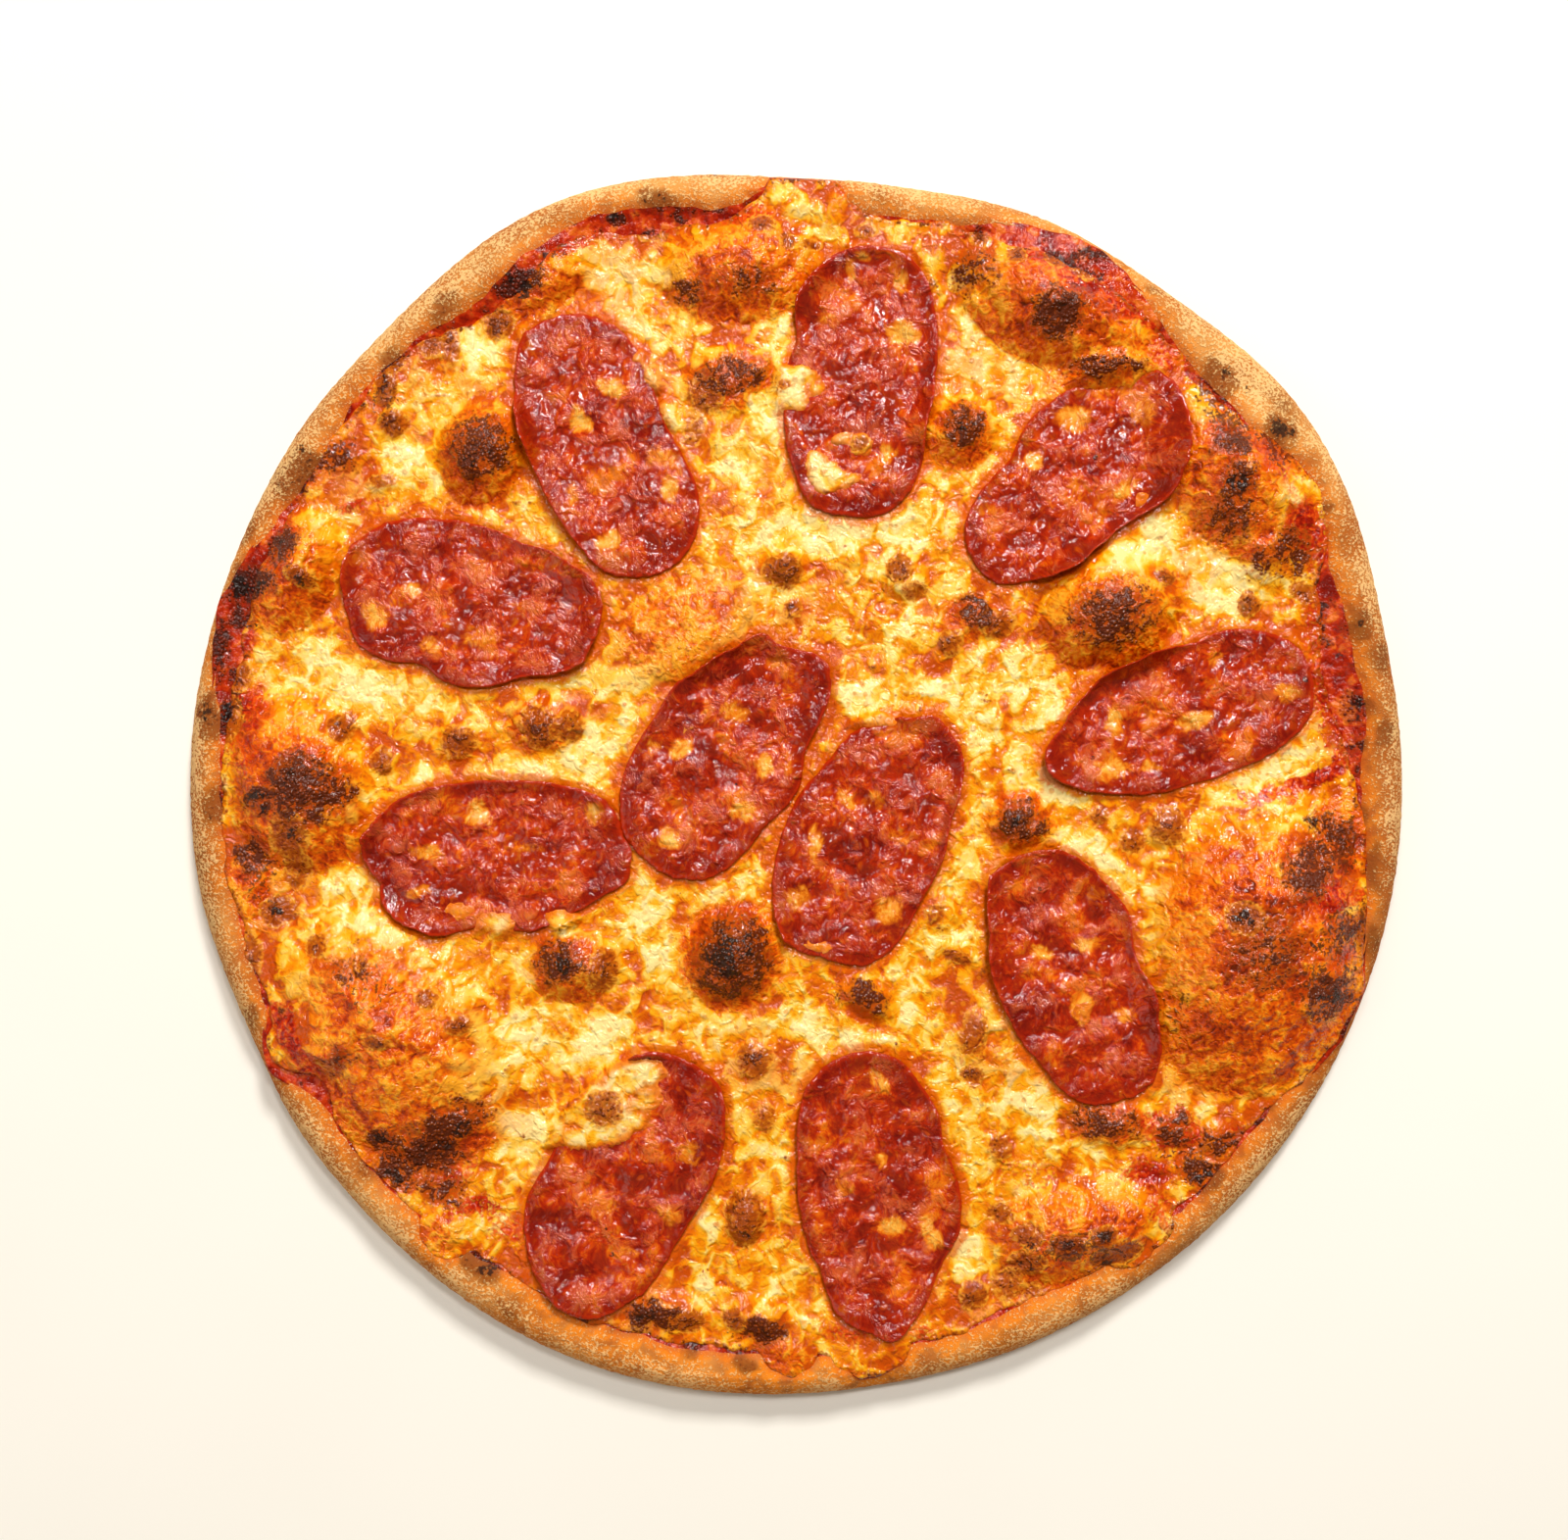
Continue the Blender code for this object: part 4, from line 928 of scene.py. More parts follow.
        (-118, 15, 2, 2.5, 0, 0.5), (-9, 144, 2, 1.5, 0, 0.5), (-28, 128, 4, 2, 0, 0.3),
        (90, -107, 3, 3, 0, 0.5),
    ),
    # tomato showing through
    redPatches=(
        (72, 135, 17, 8, -25, 0.85), (58, 130, 10, 6, 0, 0.35), (84, 125, 9, 7, -40, 0.7),
        (97, 113, 9, 6, -40, 0.7), (132, 66, 7, 10, 10, 0.8), (126, 85, 9, 12, 40, 0.45),
        (138, 30, 6, 25, 5, 0.6), (-60, 142, 13, 5, 18, 0.85), (-73, 135, 8, 5, 20, 0.7),
        (-85, 124, 8, 4, -5, 0.7), (-15, 148, 14, 4, 0, 0.65), (-35, 147, 10, 4, 0, 0.5),
        (45, 146, 16, 4, -5, 0.6), (-135, 66, 6, 4, 30, 0.8), (-146, 38, 5, 14, 0, 0.8),
        (-143, 20, 8, 8, 0, 0.6), (-143, 8, 7, 8, 0, 0.5), (-131, -64, 5, 10, 15, 0.8),
        (-125, -77, 5, 9, 10, 0.7), (-118, -70, 7, 5, 20, 0.45), (138, -29, 11, 5, 0, 0.85),
        (108, -18, 12, 7, 0, 0.45), (125, -3, 13, 3, 5, 0.5), (138, -44, 9, 6, 0, 0.4),
        (101, -44, 9, 14, 0, 0.25), (-90, -101, 9, 9, 0, 0.5), (-84, -110, 10, 5, 0, 0.55),
        (-75, -116, 9, 5, 0, 0.5), (98, -90, 12, 7, -10, 0.75), (92, -102, 8, 6, 0, 0.7),
        (112, -91, 6, 6, 0, 0.5), (62, -101, 14, 5, 0, 0.35), (12, -143, 9, 4, 0, 0.5),
        (32, -143, 9, 4, 0, 0.4), (-98, 115, 8, 4, 0, 0.5), (-112, 73, 8, 3, 15, 0.6),
        (-42, 147, 8, 3, 0, 0.4), (-133, 22, 10, 4, 20, 0.3), (-16, -32, 10, 4, 0, 0.25),
        (50, -70, 10, 6, 0, 0.25), (95, -110, 6, 6, 0, 0.5),
    ),
    # golden skin of the domes
    goldPatches=(
        (67, 124, 27, 14, -22, 0.75), (112, 78, 22, 15, -58, 0.6), (80, 45, 19, 14, 12, 0.75),
        (116, -42, 36, 27, 78, 0.85), (113, -70, 22, 13, 5, 0.8), (136, -66, 12, 12, 20, 0.8),
        (142, -14, 9, 13, 0, 0.8), (-106, -65, 36, 25, -48, 0.6), (-130, 0, 24, 17, -72, 0.8),
        (-131, 55, 17, 12, 62, 0.7), (-82.4, 86, 14, 11.5, 85, 0.85), (-15, 133, 23, 14, 3, 0.85),
        (-16.5, -44, 16, 15, 60, 0.9), (-58, -47, 12, 9, 0, 0.6), (43, 91, 10, 9, 0, 0.75),
        (-68, 132, 15, 8, 26, 0.5), (72, -114, 21, 12, 14, 0.6), (-30, 42, 22, 14, 26, 0.7),
        (-143, -26, 7, 9, 0, 0.9), (-92, -117, 6, 6, 0, 0.9), (-3, -149, 8, 5, 0, 0.7),
        (60, -133, 7, 6, 0, 0.9), (14, 154, 8, 5, 0, 0.6), (-17, 105, 14, 8, 15, 0.85),
        (82, -88, 12, 6, 0, 0.8), (58, -9, 11, 9, 0, 0.6), (-13, -113, 8, 11, 0, 0.6),
        (47, 44, 10, 7, 0, 0.7), (-67, 15, 11, 7, 0, 0.75),
    ),
    # bright creamy pools
    creamPools=(
        (-42, 132, 9, 9, 0, 0.9), (-40, 118, 9, 5, -10, 0.8), (-85, 114, 7, 7, 0, 0.9),
        (-100, 86, 14, 6, -35, 0.8), (-8, 88, 12, 18, -30, 0.9), (5, 66, 22, 9, 0, 0.7),
        (48, 115, 8, 12, 20, 0.9), (60, 108, 8, 10, 0, 0.6), (95, 63, 17, 7, -25, 0.9),
        (85, 60, 9, 8, 0, 0.8), (112, 50, 14, 8, 10, 0.8), (-122, 28, 14, 7, -15, 0.9),
        (-105, 24, 16, 7, -20, 0.7), (-98, 5, 12, 8, 0, 0.6), (-70, 3, 22, 4, 0, 0.8),
        (-52, 14, 8, 7, 0, 0.9), (66, -1, 12, 5, -15, 0.8), (78, -20, 7, 16, 35, 0.95),
        (63, 20, 7, 10, 0, 0.7), (47, 8, 8, 12, 0, 0.5), (135, 15, 5, 10, 10, 0.9),
        (120, 3, 18, 4, 15, 0.8), (-115, -26, 11, 6, 0, 0.9), (-108, -38, 14, 5, -35, 0.7),
        (-38, -30, 8, 7, 0, 0.9), (-36, -47, 5, 6, 0, 0.8), (-70, -68, 10, 12, 0, 0.6),
        (-52, -67, 10, 7, 20, 0.95), (-62, -60, 9, 5, 0, 0.6), (8, -44, 9, 6, 0, 0.6),
        (2, -62, 10, 6, 0, 0.8), (15, -68, 12, 4, 0, 0.7), (28, -58, 9, 5, 0, 0.7),
        (-5, -95, 5, 6, 0, 0.6), (-25, -112, 6, 10, 0, 0.6), (-25, -132, 5, 6, 0, 0.7),
        (45, -122, 8, 7, 0, 0.8), (62, -88, 9, 10, 0, 0.95), (68, -72, 6, 8, 30, 0.6),
        (92, -83, 7, 5, 0, 0.6), (-70, -95, 8, 13, 15, 0.8), (-60, -36, 5, 4, 0, 0.9),
        (-50, 28, 8, 5, 0, 0.6), (17, 24, 12, 6, 0, 0.7), (40, 25, 12, 6, 0, 0.6),
        (103, 99, 5, 9, 20, 0.6), (28, 66, 14, 6, 0, 0.7), (0, 20, 6, 9, 0, 0.3),
    ),
    # a golden roll of cheese at the upper right
    roll=(82, 107, 19, 10, 8, 1),
    # cheese that ran over the slices
    overSlices=(
        (-36, 106, 5, 4, -40, 0.9), (-31.5, 97, 3.5, 6, 25, 0.8), (-41, 111, 3, 2, 0, 0.6),
        (0, 106, 7, 4, -10, 0.9), (-1, 101, 5.5, 5, 0, 0.8), (5, 103, 4, 3, 0, 0.6),
        (8, 80, 6, 4.5, 10, 1.1), (5, 84, 3.5, 4, 0, 0.8), (14, 79, 5, 2.5, 10, 0.7),
        (16.5, 88.5, 4, 3.6, 0, 0.9), (12, 90, 4, 2.4, 20, 0.6), (-60, -82, 9, 7, 0, 1),
        (-51, -84, 9, 7.5, -10, 1.3), (-42, -76, 10, 5, 12, 0.9), (-64, -90, 6, 5, 20, 0.8),
        (-53, -91, 11, 4.5, 12, 0.8), (-44, -88, 7, 5, 30, 0.7), (-40, -82, 7, 5, 20, 0.6),
        (74, -59, 3.5, 4, 0, 0.5), (-78, -36, 6, 3.5, -10, 0.7), (-88, -33, 5, 3, 0, 0.5),
        (-113, 48, 3, 5, 0, 0.3), (18, 17, 9, 2.5, -5, 0.6), (82, 107, 12, 4.5, 8, 1.6),
        (-61, -35, 5, 3, 0, 0.7), (90, 74, 4, 2.5, 30, 0.4), (6, -42, 4, 2, 0, 0.5),
        (-5, 31, 3, 2, 0, 0.3), (-26, 17, 5, 2, 35, 0.3),
    ),
)


def cheeseMaterial():
    material, tree, shader, place = newMaterial("meltedCheese", cheese["gloss"])
    wide = noise(tree, place, cheese["wideSize"], 2.0, 0.3, 0.45)
    curds = noise(tree, place, cheese["curdSize"], 2.0, 0.6, 0.42)
    strands = noise(tree, place, cheese["strandSize"], 1.5, 0.8, 0.45)
    grain = noise(tree, place, cheese["grainSize"], 2.0, 0.3, 0.55)
    # curds have fairly clear borders
    pooled = ramp(tree, curds, 0.44, 0.58)
    tone = total(tree, -0.79, (field(tree, "cream"), 0.4), (field(tree, "oil"), -0.42), (wide, 1.1),
                 (curds, 0.5), (pooled, 0.26), (strands, 0.5), (grain, 0.16))
    tint = tones(tree, tone, *cheese["curd"])
    # the folds' tops get the lip colour: partly their own yellow, partly painted light on the tops
    tint = mix(tree, field(tree, "ridge"), tint, cheese["lip"])
    pores = useGroup(tree, roundDots, Vector=place, Size=2.3, Amount=0.45, Softness=0.14)
    tint = mix(tree, times(tree, pores["Mask"], 0.55), tint, cheese["pore"])
    blushed = times(tree, field(tree, "blush"), ramp(tree, curds, 0.4, 0.6))
    tint = mix(tree, blushed, tint, cheese["blush"])
    tint = mix(tree, times(tree, field(tree, "thin"), 0.8), tint, cheese["thin"])
    soaked = ramp(tree, total(tree, -0.5, (field(tree, "beside"), 0.8), (strands, 0.9)), 0.2, 0.6, 0.0, 0.75)
    tint = mix(tree, soaked, tint, cheese["soaked"])
    # the domes' baked skin, redder where it is baked deep and, as painted shade, on the domes' sides away
    # from the window
    deep = field(tree, "deep")
    skinTone = total(tree, -0.5, (grain, 0.5), (strands, 0.55), (curds, 0.75), (wide, 0.5), (deep, -0.3))
    skinMask = total(tree, -0.5, (field(tree, "gold"), 1.0), (deep, 0.6), (curds, 0.7), (strands, 0.4))
    skinMask = ramp(tree, skinMask, 0.2, 0.62)
    tint = mix(tree, skinMask, tint, tones(tree, skinTone, *cheese["skin"]))
    red = field(tree, "red")
    redMask = ramp(tree, total(tree, -0.75, (red, 1.0), (grain, 0.9), (curds, 0.7)), 0.22, 0.62)
    redMask = times(tree, redMask, ramp(tree, red, 0.04, 0.2))
    redTone = total(tree, -0.5, (wide, 0.6), (strands, 0.6), (grain, 0.8))
    tint = mix(tree, redMask, tint, tones(tree, redTone, *cheese["tomato"]))
    dots = useGroup(tree, roundDots, Vector=place, Size=2.9, Amount=field(tree, "freckles"), Softness=0.2)
    tint = mix(tree, times(tree, dots["Mask"], 0.45), tint, cheese["freckle"])
    beads = field(tree, "beads")
    beadMask = ramp(tree, total(tree, -0.15, (beads, 1.0), (strands, 0.4)), 0.14, 0.36, 0.0, 0.88)
    beadTone = total(tree, 0.1, (strands, 0.8), (grain, 0.6), (beads, -0.5))
    tint = mix(tree, beadMask, tint, tones(tree, beadTone, *cheese["bead"]))
    uneven = ramp(tree, total(tree, 0.0, (curds, 0.55), (strands, 0.45)), 0.38, 0.6, 0.55, 1.3)
    brown = times(tree, field(tree, "brown"), uneven)
    char = times(tree, field(tree, "char"), uneven)
    burnt = useGroup(tree, baked, Vector=place, Colour=tint, Brown=brown, Char=char,
                     Toasted=cheese["toasted"], Dark=cheese["dark"], Black=cheese["black"], Size=0.9)
    # nets of specks burnt into the thinnest skin
    specks = total(tree, -1.0, (field(tree, "net"), 0.55), (grain, 1.3), (strands, 0.5))
    specks = times(tree, ramp(tree, specks, 0.16, 0.3), ramp(tree, field(tree, "net"), 0.05, 0.3))
    tint = mix(tree, times(tree, specks, 0.85), burnt["Colour"], cheese["dark"])
    height = total(tree, burnt["Height"], (wide, 0.4), (curds, 1.0), (strands, 0.55), (grain, 0.16),
                   (dots["Mask"], 0.1), (times(tree, grain, skinMask), 0.2))
    wet = ramp(tree, wide, 0.35, 0.65, 0.07, 0.15)
    rough = total(tree, wet, (burnt["Dry"], 0.07), (skinMask, 0.05))
    finishMaterial(tree, shader, tint, rough, height)
    return material


def overSlices(x, y):
    # 1 in the middle of the cheese that ran over a slice, 0 away from it
    return spots(x, y, cheese["overSlices"], 0.75, 1.0, most=True)


randomBlisters = scatter(170, 147, 0.9, 2.2, 11, (0.3, 0.8))


def cheeseTop(x, y):
    r, angle = polar(x, y)
    inwards = smooth(cheeseReach(angle) - r, 0.0, 9.0)
    body = levelGround(r / outlineRadius(angle)) + 2 * pizzaForm["gap"] + pizzaForm["sauceThick"]
    thick = pizzaForm["cheeseEdge"] + (pizzaForm["cheeseThick"] - pizzaForm["cheeseEdge"]) * inwards
    edgeFade = smooth(cheeseReach(angle) - r, -4.0, 10.0)
    domes = domeHeight(x, y)
    under = seat(x, y)
    free = 1 - under
    blisters = spots(x, y, cheese["blisters"], 0.9, 0.5) + spots(x, y, cheese["smallBlisters"], 0.75, 0.6)
    blisters = blisters + spots(x, y, randomBlisters, 0.8) + lines(x, y, cheese["folds"], 0.8)
    lumps = 0.55 * fractal(x, y, 11, 3, 81) + 0.3 * fractal(x, y, 3.6, 2, 82)
    # skin of the domes: pocks and folds
    skin = smooth(domes, 1.0, 4.0)
    pocks = 0.45 * fractal(x, y, 5.0, 3, 91) * skin
    top = body + thick + domes * (0.5 + 0.5 * edgeFade) + free * inwards * (blisters + lumps + pocks)
    small = 0.28 * fractal(x, y, 4.0, 2, 84) * (1 - inwards) * free
    top = top + small
    # always above what it lies on
    lowest = np.maximum(sauceTop(x, y), doughTop(x, y)) + 0.25
    lowest = lowest + 0.5 * smooth(cheeseReach(angle) - r, 0.0, 2.0)
    top = np.maximum(top, lowest)
    # it clings to the slices' edges, and thin pools of it lie over some
    inside = insideSlice(x, y)
    clinging = 0.5 * smooth(inside, -5.0, -1.0) * (1 - smooth(inside, -1.0, 0.6))
    top = np.where(inside < 0.6, np.minimum(top + clinging, np.maximum(top, restingHeight(x, y) + 0.1)), top)
    over = overSlices(x, y)
    above = restingHeight(x, y) + salami["thick"] + 1.3 * (over - 0.3) + 0.3 * fractal(x, y, 3.0, 2, 86)
    poured = top + (np.maximum(top, above) - top) * smooth(over, 0.0, 0.12)
    return np.where(under > 0.01, poured, top + 0.3 * over)


def buildCheese():
    n = cheese["cells"]
    grid = np.linspace(-1, 1, n + 1)
    u, v = np.meshgrid(grid, grid)
    u, v = u.ravel(), v.ravel()
    # a square grid drawn to the cheese's own outline
    x, y = u * np.sqrt(1 - v * v / 2), v * np.sqrt(1 - u * u / 2)
    angle = polar(x, y)[1]
    reach = cheeseReach(angle)
    x, y = x * reach, y * reach
    z = cheeseTop(x, y)
    index = np.arange((n + 1) * (n + 1)).reshape(n + 1, n + 1)
    faces = np.stack([index[:-1, :-1], index[:-1, 1:], index[1:, 1:], index[1:, :-1]], axis=-1).reshape(-1, 4)
    border = np.concatenate([index[0, :-1], index[:-1, -1], index[-1, :0:-1], index[:0:-1, 0]])
    points = [np.stack([x, y, z], axis=-1)]
    bx, by, bz = x[border], y[border], z[border]
    outward = np.stack([bx, by], axis=-1) / np.hypot(bx, by)[:, None]
    for out, down in cheese["skirt"]:
        points.append(np.stack([bx + outward[:, 0] * out, by + outward[:, 1] * out, bz - down], axis=-1))
    around = len(border)
    first = len(x)
    j = np.arange(around)
    k = (j + 1) % around
    skirt = [np.stack([border[k], border[j], first + j, first + k], axis=-1)]
    for ring in range(len(cheese["skirt"]) - 1):
        a, b = first + ring * around, first + (ring + 1) * around
        skirt.append(np.stack([a + k, a + j, b + j, b + k], axis=-1))
    faces = np.concatenate([faces] + skirt)
    points = np.concatenate(points)
    x, y = points[:, :2].T
    r, a = polar(x, y)
    toEdge = cheeseReach(a) - r
    under = seat(x, y)
    inside = insideSlice(x, y)
    besideSlice = smooth(inside + 2.5 * softNoise(x, y, 6, 106), -6.0, -0.5)
    # large brown spots have torn outlines, small ones are round beads with a darker middle
    browned = wider(cheese["brownSpots"], 1.1)
    large = [row for row, source in zip(browned, cheese["brownSpots"]) if source[2] > cheese["largestBead"]]
    small = [row for row, source in zip(browned, cheese["brownSpots"]) if source[2] <= cheese["largestBead"]]
    gold = spots(x, y, cheese["goldPatches"], 0.8, 2.0, most=True)
    # painted shade: the sides of the domes away from the window are drawn deeper and more golden in colour
    paintedShadeSide = smooth(domeHeight(x, y + 3) - domeHeight(x, y - 3), 0.8, 3.2)
    cream = spots(x, y, cheese["creamPools"], 0.8, 2.5, most=True)
    wide = fractal(x, y, 26, 3, 101)
    random = scatter(420, 146, 0.8, 2.6, 7, (0.35, 1.0))
    darkDots = spots(x, y, randomBlisters, 1.0, 0.4, most=True) * (1 - 0.8 * cream)
    aroundBrown = spots(x, y, wider(cheese["brownSpots"], 1.6, 1.5), 0.8, 1.5, most=True)
    # the folds' tops get a paler yellow lip, partly the cheese's own colour and partly painted light on the
    # tops
    ridge = lines(x, y, cheese["folds"], 0.8)
    # painted shade: a darker, oilier orange band along both sides of the folds
    paintedShadeByFolds = lines(x, y, [(half + 3.0, 1.0, path) for half, _, path in cheese["folds"]], 0.8)
    oil = 0.6 * besideSlice + 0.45 * smooth(wide, 0.05, 0.8) + 0.4 * (1 - smooth(toEdge, 0, 14))
    # oil carries the painted shade along the folds and is taken off the folds' tops, which are partly painted
    # light
    oil = oil - 0.55 * cream + 0.4 * aroundBrown + 0.6 * paintedShadeByFolds - 1.6 * np.clip(ridge, 0, 1)
    over = overSlices(x, y)
    onSlice = smooth(over, 0.36, 0.75) * under
    rolled = spots(x, y, [cheese["roll"]], 0.3)
    # the border of the cheese is browned too
    borderWidth = 2.0 + 1.2 * softNoise(x, y, 6, 107)
    border = (0.36 + 0.2 * softNoise(x, y, 9, 108)) * (1 - smooth(toEdge, 0.0, borderWidth))
    largeBrown = spots(x, y, large, 0.9, 1.9, most=True)
    smallBrown = 0.62 * spots(x, y, small, 1.2, 0.8, most=True)
    sauced = lines(x, y, cheese["sauceRuns"], 1.0)
    pooled = cream + 0.4 * smooth(fractal(x, y, 18, 2, 103), 0.1, 0.8) * (1 - gold) + onSlice * (1 - rolled)
    blush = 0.8 * smooth(over, 0.0, 0.25) * under - 0.7 * onSlice
    blush = blush + 0.6 * smooth(softNoise(x, y, 30, 105), 0.35, 0.7)
    fields = dict(
        brown=np.max([largeBrown, smallBrown, 0.6 * darkDots, border], axis=0),
        beads=spots(x, y, small, 0.6, 0.8, most=True),
        char=spots(x, y, cheese["charSpots"], 1.0, 1.7, most=True),
        net=spots(x, y, cheese["nets"], 0.8, 2.5, most=True),
        # ridge: the folds' lip colour, partly painted light
        ridge=0.85 * np.clip(ridge, 0, 1),
        # deep and gold also carry the painted shade on the domes' sides away from the window
        deep=np.maximum(spots(x, y, cheese["deepBaked"], 0.8, 3.0, most=True), 0.4 * paintedShadeSide),
        beside=smooth(inside, -4.5, -0.4) * (1 - smooth(over, 0.0, 0.15)),
        red=np.maximum(spots(x, y, cheese["redPatches"], 0.8, 2.5, most=True), sauced),
        gold=np.max([gold, 0.85 * paintedShadeSide, 0.9 * rolled], axis=0),
        thin=smooth(over, 0.08, 0.25) * under * (1 - onSlice),
        cream=np.clip(pooled, 0, 1),
        oil=np.clip(oil - 1.5 * onSlice, 0, 1),
        freckles=np.clip(0.42 + 0.3 * fractal(x, y, 12, 3, 104) + 0.25 * gold - 0.4 * cream
                         + 0.5 * spots(x, y, random, 0.8, 0.5, most=True), 0, 0.85),
        blush=np.clip(blush, 0, 1),
    )
    meshObject("meltedCheeseLayer", points, faces, cheeseMaterial(), "cheese", fields)
    print("cheese:", len(faces), "faces")


# Salami

salami = dict(
    around=220, rings=56, thick=1.5, middle=0.012,
    # the cut edge below the top: out, down, then the shares of the underside's rings
    edge=((0.22, 0.25), (0.26, 0.6), (0.05, 0.9)),
    underShares=(0.96, 0.9, 0.8, 0.6, 0.3, 0.012),
    gloss=0.54, broadSize=11.0, grainSize=3.2, streakSize=1.7, fineSize=1.0, pinkSize=7.5, crumbSize=2.8,
    pepperSize=3.4, bend=3.6,
    # from lean dark meat to meat soaked in orange oil
    meat=((0.12, colour(124, 12, 0)), (0.3, colour(156, 28, 0)), (0.46, colour(178, 38, 0)),
          (0.62, colour(206, 66, 0)), (0.84, colour(238, 122, 10))),
    fat=((0.1, colour(216, 84, 2)), (0.35, colour(238, 130, 14)), (0.6, colour(250, 182, 70)),
         (0.85, colour(253, 212, 134))),
    pink=colour(198, 88, 46), mauve=colour(134, 36, 14), band=colour(126, 10, 0), rind=colour(184, 40, 0),
    pepper=colour(26, 12, 9),
    # where each slice's edge curls up, as a direction
    curlTowards=(200, 60, 330, 0, 80, 20, 150, 100, 130, 60, 100),
    # the larger pieces of fat: x, y, half length, half width, turn, strength
    fatPieces=(
        (-56, 95, 2.6, 4, 20, 1), (-48, 103, 3, 2.4, 0, 1), (-33, 77, 2.2, 3.4, 0, 0.9),
        (-49, 63, 3, 2.6, 0, 1), (-35, 85, 4, 3, 0, 0.6), (-58, 75, 2, 2.6, 0, 0.7),
        (17, 137, 1.6, 1.6, 0, 0.9), (14, 133, 1.4, 3, 0, 0.7), (27, 131, 2, 3, 20, 0.8),
        (28, 117, 4, 3.6, 0, 1), (24, 86, 2.4, 2, 0, 0.9), (8, 121, 3, 2, 0, 0.5),
        (72, 95, 4.5, 3, 10, 0.8), (62, 84, 2.6, 2, 0, 1), (90, 97, 3, 4, 0, 0.6),
        (85, 76, 4, 2, 40, 0.8), (-110, 44, 3, 3.6, 30, 0.9), (-100, 50, 2.6, 2, 0, 0.7),
        (-82, 38, 5, 2.6, 0, 0.5), (-95, 36, 3.4, 2, 0, 0.6), (-30, 9, 3.6, 2.2, 40, 0.8),
        (-8, 5, 2, 3, 0, 1), (-16, 19, 3.6, 3, 0, 0.7), (-33, -14, 3, 2.4, 0, 0.9),
        (-14, -7, 3.4, 3, 0, 0.9), (-37, 10, 2, 2, 0, 0.6), (13, -4, 2.6, 2.2, 0, 0.7),
        (5, -16, 2.6, 5, -10, 0.8), (20, -4, 3, 2, 0, 0.5), (24, -33, 4, 3.4, 0, 0.8),
        (0, -30, 3, 3, 0, 0.7), (27, -14, 2.6, 2, 0, 0.5), (83, 16, 2.4, 4.4, 0, 0.9),
        (104, 17, 5, 2.4, 20, 0.9), (82, 4, 4.4, 3, 0, 0.9), (92, 4, 2.6, 2, 0, 0.8),
        (128, 24, 3, 2.6, 20, 0.8), (109, 33, 3, 2, 0, 0.5), (72, 22, 2, 3, 0, 0.4),
        (-83, -8, 3.6, 3.2, 0, 1), (-96, -18, 3.6, 1.8, 0, 0.8), (-53, -7, 2.6, 2.6, 0, 0.9),
        (-98, -28, 3, 1.6, 0, 0.6), (-70, -16, 3, 2, 0, 0.4), (75, -42, 3, 2.4, 0, 0.9),
        (64, -44, 3, 2, 0, 0.9), (86, -60, 3, 2, 0, 0.6), (78, -28, 3, 3, 0, 0.4),
        (74, -58, 3, 4, 0, 0.9), (25, -115, 2.8, 2.8, 0, 1), (35, -116, 2, 5, 20, 0.9),
        (22, -77, 2, 4, 30, 0.8), (22, -98, 2, 1.6, 0, 0.7), (-28, -96, 3, 3, 0, 0.6),
        (-33, -112, 2.6, 3.4, 0, 0.6), (-44, -122, 3, 2, 0, 0.5), (-50, -110, 4, 2, 40, 0.5),
        (12, -105, 2, 3, 0, 0.5),
    ),
)


